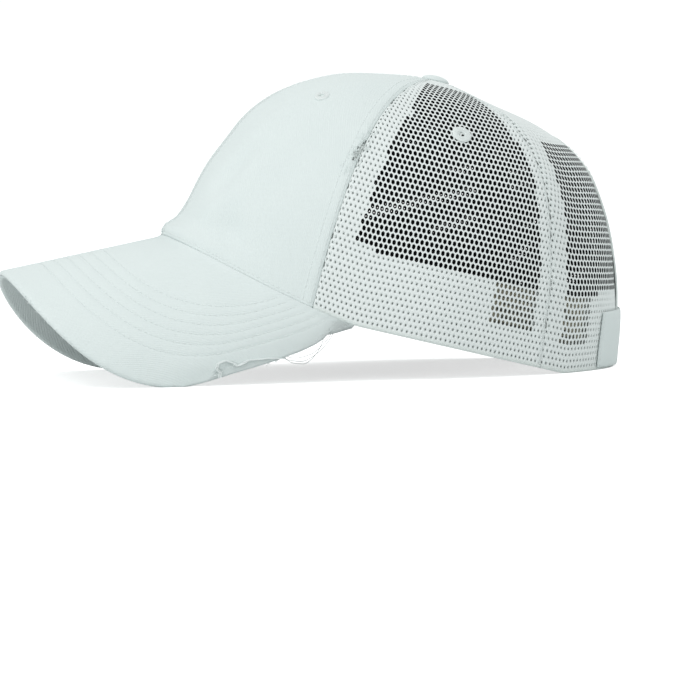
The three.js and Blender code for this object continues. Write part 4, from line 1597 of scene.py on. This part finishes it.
@dataclass
class Trims:
    """Button, eyelets, binding, closure and label.

    Attributes:
        button_radius: Radius of the button, in millimetres.
        eyelet_hole: Radius of the hole in an eyelet, in millimetres.
        strap_ends: Both ends of the closure strap, in degrees from the front.
        rule_height: Height of a ruled line on the label, in millimetres.
        rule_pitch: Distance from one ruled line to the next, in millimetres.
    """

    button_radius: float = 6.1
    eyelet_hole: float = 1.1
    strap_ends: tuple[float, float] = (148, 217)
    rule_height: float = 1.3
    rule_pitch: float = 3.0

    def build(self, shop: Workshop) -> None:
        """Builds every trim.

        Args:
            shop: The workshop.
        """
        self._button(shop)
        for side in Side:
            self._eyelet(shop, f"eyelet_front_{side.word}", rad(34.5) * side.value, 0.638, 3.3)
            self._eyelet(shop, f"eyelet_side_{side.word}", rad(94.2) * side.value, 0.650, 4.4)
        self._binding(shop)
        self._closure(shop)
        self._label(shop)

    def _turned(self, shop: Workshop, name: str, centre: Array, axis: Array, profile: Array,
                finish: ClothFinish, count: int, wave: float = 0.0, waves: int = 0) -> bpy.types.Object:
        """Builds a ring from a closed profile of radius and height, in millimetres.

        Args:
            shop: The workshop.
            name: The object's name.
            centre: Middle of the piece, in metres.
            axis: Direction that it faces.
            profile: Radius and height of each point of its section.
            finish: The finish.
            count: Number of steps round the ring.
            wave: Share by which the height ripples.
            waves: Number of ripples round the ring.

        Returns:
            The object.
        """
        axis = axis / np.linalg.norm(axis)
        x = np.cross(np.array([0.0, 1.0, 0.0]), axis)
        x /= np.linalg.norm(x)
        y = np.cross(axis, x)
        turn = np.arange(count) * 2 * math.pi / count
        ripple = 1 + wave * np.cos(waves * turn)
        radius = profile[None, :, 0] * np.ones((count, 1))
        height = profile[None, :, 1] * ripple[:, None]
        spoke = np.cos(turn)[:, None, None] * x + np.sin(turn)[:, None, None] * y
        points = centre + MM * (radius[..., None] * spoke + height[..., None] * axis)
        made = shop.object(name, points.reshape(-1, 3), ring_faces(count, len(profile), True), finish)
        shop.face_out(made)
        return made

    def _button(self, shop: Workshop) -> None:
        """Builds the covered button on top.

        Args:
            shop: The workshop.
        """
        centre = SHAPE.to_frame(SHAPE.crown(np.array([0.0]), np.array([1.0])))[0]
        tip = SHAPE.to_frame(np.array([[0.0, SHAPE.apex_y, SHAPE.height + 10]]))[0]
        r = self.button_radius
        profile = np.array([(0.02, 2.1), (r * 0.45, 1.9), (r * 0.75, 1.4), (r * 0.93, 0.7), (r, 0.0),
                            (r * 0.93, -0.6), (r * 0.7, -0.7), (0.02, -0.7)])
        made = self._turned(shop, "top_button_cover", centre, tip - centre, profile, shop.palette.twill, 48,
                            wave=0.02, waves=8)
        shop.fit(made, "sewn_trim", "top_button")

    def _eyelet(self, shop: Workshop, node: str, angle: float, up: float,
                radius: float) -> None:
        """Builds one embroidered eyelet, its ring ridged by its stitches.

        Args:
            shop: The workshop.
            node: The CAD node that it replaces.
            angle: Angle from the front centre, in radians.
            up: Share of the way up.
            radius: Outer radius, in millimetres.
        """
        a, u = np.array([angle]), np.array([up])
        centre = SHAPE.crown_at(a, u, 0.0)[0]
        axis = SHAPE.crown_at(a, u, 1.0)[0] - centre
        turn = np.linspace(0, 2 * math.pi, 12, endpoint=False)
        middle, half = (radius + self.eyelet_hole) / 2, (radius - self.eyelet_hole) / 2
        profile = np.stack([middle + half * np.cos(turn), 0.15 + 0.62 * np.sin(turn)], -1)
        made = self._turned(shop, f"{node}_ring", centre, axis, profile, shop.palette.thread, 120,
                            wave=0.14, waves=40)
        shop.fit(made, "sewn_trim", node)

    def _binding(self, shop: Workshop) -> None:
        """Builds the tape folded over the edge of the ponytail opening.

        Args:
            shop: The workshop.
        """
        ups = np.concatenate([np.linspace(0.02, 0.6, 40), np.linspace(0.61, SHAPE.opening_top - 0.002, 24)])
        left = SHAPE.opening_angle(ups)
        ups = np.concatenate([ups, [SHAPE.opening_top], ups[::-1]])
        angle = np.concatenate([left, [math.pi], 2 * math.pi - left[::-1]])
        line = SHAPE.crown(angle, ups)
        tangent = np.gradient(line, axis=0)
        tangent /= np.linalg.norm(tangent, axis=1, keepdims=True)
        normal = SHAPE.crown_normal(angle, ups)
        into = np.cross(tangent, normal)
        middle = SHAPE.crown(np.array([math.pi]), np.array([0.4]))[0]
        into = np.where(((line - middle) * into).sum(1, keepdims=True) < 0, -into, into)
        points = np.stack([SHAPE.to_frame(line + into * a + normal * b) for a, b in BINDING_FOLD], 1)
        faces = ring_faces(len(line), len(BINDING_FOLD), False)
        made = shop.object("ponytail_binding_tape", points.reshape(-1, 3), faces, shop.palette.tape)
        shop.face_out(made)
        shop.fit(made, "seam_tape", "ponytail_binding")

    def _strip(self, shop: Workshop, name: str, angles: Array, heights: Array,
               outer: Callable[[Array], Array], inner: Callable[[Array], Array],
               finish: ClothFinish) -> bpy.types.Object:
        """Builds a strip of cloth between two offsets from the crown, at heights above the hem.

        Args:
            shop: The workshop.
            name: The object's name.
            angles: Angles from the front centre, in radians.
            heights: Heights above the hem, in millimetres.
            outer: Offset of the outer face at each angle.
            inner: Offset of the inner face at each angle.
            finish: The finish.

        Returns:
            The object.
        """
        edge = np.minimum(heights - heights[0], heights[-1] - heights)
        soft = 0.35 * np.exp(-edge / 0.5)
        up = SHAPE.up_at_height(angles[:, None], heights[None, :])
        wide = np.broadcast_to(angles[:, None], up.shape)
        return shop.shell(name, crown_grid(wide, up, outer(wide) - soft[None, :], inner(wide)), finish)

    def _closure(self, shop: Workshop) -> None:
        """Builds the hook-and-loop strap that closes the back below the opening.

        Args:
            shop: The workshop.
        """
        start, stop = (rad(end) for end in self.strap_ends)

        def lift(angle: Array) -> Array:
            """Gives the strap's height off the crown, more where it laps over the patches."""
            share = np.clip((angle - rad(168)) / rad(26), 0, 1)
            return 0.75 + 1.6 * share * share * (3 - 2 * share)

        heights = np.array([1.2, 1.5, 2.2, 4, 8, 13, 18, 22, 24.2, 24.9, 25.2])
        strap = self._strip(shop, "closure_strap_cloth", np.linspace(start, stop, 90), heights,
                            lambda a: lift(a) + 0.25 + 0.85 * np.clip((a - start) / rad(9), 0, 1),
                            lambda a: lift(a) - 0.2, shop.palette.twill)
        shop.fit(strap, "washed_twill", "closure_strap")
        # Node, both ends in degrees, foot and top above the hem, inner and outer offset in millimetres
        patches = (("closure_loop", 197, 218, 2.5, 24, 0.55, 1.2),
                   ("closure_hook", 198, 215.5, 3, 23.5, 1.35, 2.2))
        for node, first, last, low, high, inner, outer in patches:
            made = self._strip(shop, f"{node}_pile", np.linspace(rad(first), rad(last), 30),
                               np.linspace(low, high, 10), level(outer), level(inner), shop.palette.hook)
            shop.fit(made, "hook_and_loop", node)

    def _label(self, shop: Workshop) -> None:
        """Builds the plain care label between the net and the band, with plain ruled lines.

        Args:
            shop: The workshop.
        """
        angles = np.linspace(rad(LABEL_ENDS[0]), rad(LABEL_ENDS[1]), 60)
        label = self._strip(shop, "care_label_cloth", angles, np.linspace(LABEL_FOOT, BAND_HEIGHT, 12),
                            level(-2.9), level(-3.5), shop.palette.label)
        shop.fit(label, "label_cloth", "care_label")
        for number, foot in enumerate(np.arange(LABEL_FOOT + 1.6, BAND_HEIGHT - 2, self.rule_pitch)):
            ends = np.linspace(rad(109 + number % 2), rad(137 - 4 * (number % 3)), 40)
            heights = np.linspace(foot, foot + self.rule_height, 4)
            rule = self._strip(shop, f"care_label_rule_{number}", ends, heights, level(-2.55), level(-2.85),
                               shop.palette.ink)
            shop.fit(rule, "label_cloth")


@dataclass
class Stitching:
    """Every visible row of stitches.

    Attributes:
        spacing: Distance from stitch to stitch, in millimetres.
        length: Length of a stitch.
        radius: Radius of the thread.
    """

    spacing: float = 2.5
    length: float = 2.0
    radius: float = 0.2

    def build(self, shop: Workshop, recipe: StitchRecipe) -> None:
        """Builds the stitches of the crown and of the peak.

        Args:
            shop: The workshop.
            recipe: The node group that lays them.
        """
        groups = {"crown_stitches": self._crown(), "peak_stitches": self._peak(),
                  "back_stitches": self._back()}
        for number, (name, lines) in enumerate(groups.items()):
            points = np.concatenate(lines)
            mesh = bpy.data.meshes.new(name)
            starts = np.cumsum([0, *(len(line) for line in lines)])
            edges = [(k, k + 1) for a, b in zip(starts[:-1], starts[1:]) for k in range(a, b - 1)]
            mesh.from_pydata([tuple(map(float, p)) for p in points], edges, [])
            made = bpy.data.objects.new(name, mesh)
            bpy.context.scene.collection.objects.link(made)
            recipe.bake(made, {"Spacing": self.spacing * MM, "Length": self.length * MM,
                               "Radius": self.radius * MM, "Seed": number + 3,
                               "Material": shop.materials[shop.palette.thread.name]})
            shop.fit(made, "sewn_trim")

    @staticmethod
    def _beside(seam: float, away: float, low: float, high: float) -> Array:
        """Gives a line on the crown at a distance from a seam, in millimetres.

        Args:
            seam: Angle of the seam, in radians.
            away: Distance from the seam, in millimetres.
            low: Share of the way up where it starts.
            high: Share of the way up where it ends.

        Returns:
            Points in metres.
        """
        ups = np.linspace(low, high, 160)
        length = SHAPE.ring_length(np.full_like(ups, seam if abs(seam) > 0.05 else 0.05), ups)
        squeeze = np.clip((0.985 - ups) / 0.15, 0.2, 1.0)
        return SHAPE.crown_at(seam + away * squeeze / length, ups, 0.06)

    def _crown(self) -> list[Array]:
        """Gives the lines beside the seams and along the hem.

        Returns:
            One array of points for each line.
        """
        lines = []
        for s in (1, -1):
            lines.append(self._beside(s * 0.02, s * 0.9, 0.03, 0.95))
            for away in (-5.2, -1.5):
                lines.append(self._beside(s * SHAPE.front_seam, away * s, 0.02, 0.95))
            for away in (-1.6, 1.6):
                lines.append(self._beside(s * SHAPE.back_seam, away * s, 0.02, 0.95))
            lines.append(self._beside(s * SHAPE.front_seam, 1.6 * s, 0.02, 0.95))
            lines.append(self._beside(math.pi - s * 0.01, -s * 1.2, SHAPE.opening_top + 0.03, 0.95))
            stop = float(SHAPE.opening_angle(np.array(0.02)))
            angle = np.linspace(SHAPE.front_seam, stop, 200) * s
            lines.append(SHAPE.crown_at(angle, SHAPE.up_at_height(angle, 0.9), 0.4))
            angle = np.linspace(0.02, SHAPE.front_seam, 120) * s
            lines.append(SHAPE.crown_at(angle, SHAPE.up_at_height(angle, 1.6), 0.08))
        return lines

    @staticmethod
    def _peak() -> list[Array]:
        """Gives the rows that run parallel to the peak's edge.

        Returns:
            One array of points for each line.
        """
        across = np.linspace(-0.965, 0.965, 400)
        depth = SHAPE.peak_depth(across)
        lines = []
        for row in PEAK_ROWS:
            out = 1 - row / depth
            kept = out > 0.03
            breaks = np.flatnonzero(np.diff(kept.astype(int))) + 1
            for part in np.split(np.arange(len(across)), breaks):
                if kept[part[0]] and len(part) > 6:
                    lines.append(SHAPE.peak_at(across[part], out[part], -0.22))
        return lines

    @staticmethod
    def _back() -> list[Array]:
        """Gives the lines on the strap and round the opening.

        Returns:
            One array of points for each line.
        """
        lines = []
        heights = np.linspace(2.4, 24, 30)
        for turn in (149.2, 215.6):
            angle = np.full_like(heights, rad(turn))
            lift = 1.15 if turn < 180 else 3.55
            lines.append(SHAPE.crown_at(angle, SHAPE.up_at_height(angle, heights), lift))
        ups = np.linspace(0.25, SHAPE.opening_top - 0.02, 120)
        edge = SHAPE.opening_angle(ups)
        length = SHAPE.ring_length(edge, ups)
        for s in (1, -1):
            lines.append(SHAPE.crown_at(s * (edge - 3.6 / length), ups, 0.68))
        return lines


@dataclass
class Fray:
    """Loose thread ends at the worn places.

    Attributes:
        seed: Seed of the random numbers.
    """

    seed: int = 11

    def build(self, shop: Workshop) -> None:
        """Builds the short ends as one mesh and the long hanging loops as another.

        Args:
            shop: The workshop.
        """
        random = np.random.default_rng(self.seed)
        lines: list[tuple[Array, float]] = []
        lines += self._peak_edge(random, 0.10, 0.42, 50, 1.3)
        lines += self._peak_edge(random, 0.80, 0.87, 10, 1.4)
        lines += self._peak_edge(random, -0.8, -0.2, 40, 1.0)
        lines += self._tear_rim(random)
        lines += self._slit(random)
        loops = self._loops(random)
        shop.fit(shop.tubes("loose_threads", lines, shop.palette.thread), "sewn_trim")
        shop.fit(shop.tubes("hanging_loops", loops, shop.palette.yarn), "sewn_trim")

    @staticmethod
    def _peak_edge(random: np.random.Generator, low: float, high: float, count: int,
                   reach: float) -> list[tuple[Array, float]]:
        """Gives short ends that stick out of the peak's edge.

        Args:
            random: The random numbers.
            low: Place across the peak where they start.
            high: Place across the peak where they end.
            count: Number of ends.
            reach: Length of the longest end, in millimetres.

        Returns:
            Lines of points with their radius, in metres.
        """
        found = []
        for _ in range(count):
            a = random.uniform(low, high)
            share = np.linspace(0, 1, 6)
            drift = random.normal(0, 0.008)
            out = THREAD_ROOT * edge_out(a + 0 * share)
            line = SHAPE.peak_at(a + drift * share, out, -1.2 + 0 * share)
            edge = SHAPE.peak_at(np.array([a, a]), out[0] + np.array([-0.08, 0.0]), -1.6)
            way = (edge[1] - edge[0]) / np.linalg.norm(edge[1] - edge[0])
            long = random.uniform(0.4, 1.0) * reach * MM
            curl = np.array([random.normal(0, 0.5), random.normal(0, 0.5), random.normal(0.1, 0.4)]) * long
            line = line + share[:, None] * way * (long + 0.6 * MM) + (share ** 2)[:, None] * curl
            line[:, 2] = np.maximum(line[:, 2], FLOOR_CLEAR)
            found.append((line, random.uniform(0.07, 0.12) * MM))
        return found

    @staticmethod
    def _tear_rim(random: np.random.Generator) -> list[tuple[Array, float]]:
        """Gives the rolled rim of the tear, as a bundle of yarns with a few short ends.

        Args:
            random: The random numbers.

        Returns:
            Lines of points with their radius, in metres.
        """
        found = []
        share = np.linspace(0, 1, 90)
        step = np.concatenate([[0], np.cumsum(np.hypot(*np.diff(TEAR_RIM * PEAK_CLOTH, axis=0).T))])
        across = np.interp(share, step / step[-1], TEAR_RIM[:, 0])
        out = np.interp(share, step / step[-1], TEAR_RIM[:, 1])
        for strand in range(7):
            sway = 0.003 * np.sin(share * (15 + 4 * strand) + strand)
            lift = 0.05 + 0.3 * math.sin(strand * 0.9) + 0.12 * np.sin(share * 21 + strand * 2)
            found.append((SHAPE.peak_at(across + sway, out + sway, lift), 0.28 * MM))
        for _ in range(30):
            k = int(random.uniform(2, 86))
            run = np.linspace(0, 1, 5)
            a = across[k] + run * random.normal(0, 0.012)
            w = out[k] + run * random.uniform(0.0, 0.035)
            within = np.minimum(w, THREAD_ROOT * edge_out(a))
            found.append((SHAPE.peak_at(a, within, 0.2 - 0.5 * run), 0.1 * MM))
        return found

    @staticmethod
    def _slit(random: np.random.Generator) -> list[tuple[Array, float]]:
        """Gives the threads across and round the slit at the front seam.

        Args:
            random: The random numbers.

        Returns:
            Lines of points with their radius, in metres.
        """
        found = []
        for _ in range(46):
            up = SLIT_UP + random.normal(0, 0.028)
            start = rad(SLIT_TURN + (up - SLIT_UP) * SLIT_LEAN + random.normal(0, 0.8))
            share = np.linspace(0, 1, 7)
            angle = start + share * rad(random.normal(0, 1.3))
            rise = 0.25 + 0.7 * np.sin(share * math.pi) * random.uniform(0.3, 1.0)
            ups = up + share * random.normal(0, 0.018)
            found.append((SHAPE.crown_at(angle, ups, rise), random.uniform(0.06, 0.12) * MM))
        return found

    @staticmethod
    def _loops(random: np.random.Generator) -> list[tuple[Array, float]]:
        """Gives the long threads that hang in loops below the peak's left edge.

        Args:
            random: The random numbers.

        Returns:
            Lines of points with their radius, in metres.
        """
        found = []
        # Both ends as places across the peak, and how far the middle hangs, in millimetres
        ends = ((0.842, 0.945, 5.6), (0.850, 0.940, 4.2), (0.845, 0.925, 6.6))
        share = np.linspace(0, 1, 40)
        for start, stop, sag in ends:
            places = np.array([start, stop])
            pair = SHAPE.peak_at(places, THREAD_ROOT * edge_out(places), -1.4)
            line = pair[0] + share[:, None] * (pair[1] - pair[0])
            hang = np.sin(share * math.pi) ** 0.8 * sag * MM
            line = line + hang[:, None] * np.array([0.12, 0.1, -0.95])
            wobble = 0.5 * MM * np.sin(share * random.uniform(9, 16) + random.uniform(0, 6))
            wobble = wobble * np.sin(share * math.pi)
            line = line + wobble[:, None] * np.array([0.5, 0.6, 0.6])
            line[:, 2] = np.maximum(line[:, 2], FLOOR_CLEAR)
            found.append((line, 0.13 * MM))
        return found


@dataclass(frozen=True)
class Studio:
    """Camera, light and floor, as the photograph has them.

    Attributes:
        turn: How far the camera stands towards the front of the wearer's left, in degrees.
        elevation: How far it looks down, in degrees.
        roll: How far the picture is turned, in degrees.
        distance: Camera distance in metres.
        scale: Pixels for each metre at the cap, in a picture 700 pixels wide.
        centre: Where the point it looks at falls in the picture, in pixels.
        target: The point it looks at, as Y and Z in millimetres in the hem frame once turned.
        picture: Width and height of the picture, in pixels.
        sensor: Width of the sensor, in millimetres.
        surround: Strength of the white surround as light.
        backdrop: How much brighter the camera sees it.
        glow: Strength of the floor's own light, as the camera sees it.
    """

    turn: float = 11.41
    elevation: float = 3.51
    roll: float = 1.11
    distance: float = 2.632
    scale: float = 2268.0
    centre: tuple[float, float] = (345.5, 356.2)
    target: tuple[float, float] = (-16.0, -10.66)
    picture: float = 700.0
    sensor: float = 36.0
    surround: float = 0.66
    backdrop: float = 0.41
    glow: float = 0.62

    def build(self) -> None:
        """Sets up the whole studio."""
        self._camera()
        self._light()
        self._floor()

    def _camera(self) -> None:
        """Places the camera."""
        a, e, r = rad(self.turn), rad(self.elevation), rad(self.roll)
        back = Vector((math.cos(a) * math.cos(e), -math.sin(a) * math.cos(e), math.sin(e)))
        right = Vector((math.sin(a), math.cos(a), 0.0))
        up = back.cross(right)
        turned_right = right * math.cos(r) - up * math.sin(r)
        turned_up = right * math.sin(r) + up * math.cos(r)
        y, z = self.target
        look = Vector((0.0, (y + SHAPE.shift_y) * MM, (z - SHAPE.floor_level()) * MM))
        data = bpy.data.cameras.new("camera")
        data.sensor_width = self.sensor
        data.lens = self.sensor * self.distance * self.scale / self.picture
        data.shift_x = (self.picture / 2 - self.centre[0]) / self.picture
        data.shift_y = (self.centre[1] - self.picture / 2) / self.picture
        data.clip_end = 50.0
        camera = bpy.data.objects.new("camera", data)
        basis = Matrix((turned_right, turned_up, back)).transposed().to_4x4()
        camera.matrix_world = Matrix.Translation(look + back * self.distance) @ basis
        bpy.context.scene.collection.objects.link(camera)
        bpy.context.scene.camera = camera

    def _light(self) -> None:
        """Sets a white surround and four soft lamps."""
        scene = bpy.context.scene
        scene.view_settings.view_transform = "Standard"
        world = bpy.data.worlds.new("surround")
        world.use_nodes = True
        scene.world = world
        graph = NodeGraph(world.node_tree)
        seen = graph.node("ShaderNodeLightPath", output="Is Camera Ray")
        white = graph.node("ShaderNodeBackground", {}, {
            "Color": (0.97, 1.0, 1.0, 1.0), "Strength": seen * self.backdrop + self.surround})
        graph.node("ShaderNodeOutputWorld", {}, {"Surface": white})
        # Name, place in metres, size in metres and power in watts
        lamps = (("key", (0.7, -1.2, 2.0), 1.2, 16.0), ("fill", (1.8, 0.6, 0.8), 1.2, 2.5),
                 ("back", (-1.2, 1.6, 1.4), 1.4, 7.0), ("low", (0.9, -1.5, 0.12), 0.6, 3.5))
        for name, place, size, power in lamps:
            data = bpy.data.lights.new(name, "AREA")
            data.energy, data.size = power, size
            lamp = bpy.data.objects.new(name, data)
            lamp.location = place
            lamp.rotation_euler = (Vector((0, 0, 0.06)) - Vector(place)).to_track_quat("-Z", "Y").to_euler()
            scene.collection.objects.link(lamp)

    def _floor(self) -> None:
        """Lays the pale floor."""
        mesh = bpy.data.meshes.new("floor")
        mesh.from_pydata([(-8, -8, 0), (8, -8, 0), (8, 8, 0), (-8, 8, 0)], [], [(0, 1, 2, 3)])
        material = bpy.data.materials.new("floor")
        material.use_nodes = True
        graph = NodeGraph(material.node_tree)
        plain = graph.node("ShaderNodeBsdfPrincipled", {}, {
            "Base Color": (0.78, 0.8, 0.8, 1), "Roughness": 0.9, "Specular IOR Level": 0.0})
        lifted = graph.node("ShaderNodeBsdfPrincipled", {}, {
            "Base Color": (0.9, 0.9, 0.9, 1), "Roughness": 0.9, "Emission Color": (1, 1, 1, 1),
            "Emission Strength": self.glow, "Specular IOR Level": 0.0})
        seen = graph.node("ShaderNodeLightPath", output="Is Camera Ray")
        shader = graph.node("ShaderNodeMixShader", {}, {0: seen, 1: plain, 2: lifted})
        graph.node("ShaderNodeOutputMaterial", {}, {"Surface": shader})
        mesh.materials.append(material)
        floor = bpy.data.objects.new("floor", mesh)
        bpy.context.scene.collection.objects.link(floor)


def main() -> None:
    """Builds the finished cap piece by piece and reports each step."""
    logging.basicConfig(level=logging.INFO, format="%(name)s: %(message)s")
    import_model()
    shop = Workshop(Palette())
    makers = ((TwillPanels(), ()), (NetPanels(), (NetRecipe,)), (SeamTapes(), ()), (Sweatband(), ()),
              (Peak(), ()), (Trims(), ()), (Stitching(), (StitchRecipe,)), (Fray(), ()))
    for maker, recipes in makers:
        maker.build(shop, *(recipe() for recipe in recipes))
        LOG.info("%s done", type(maker).__name__)
    Studio().build()
    LOG.info("%d finished pieces", shop.count)


if __name__ == "__main__":
    main()
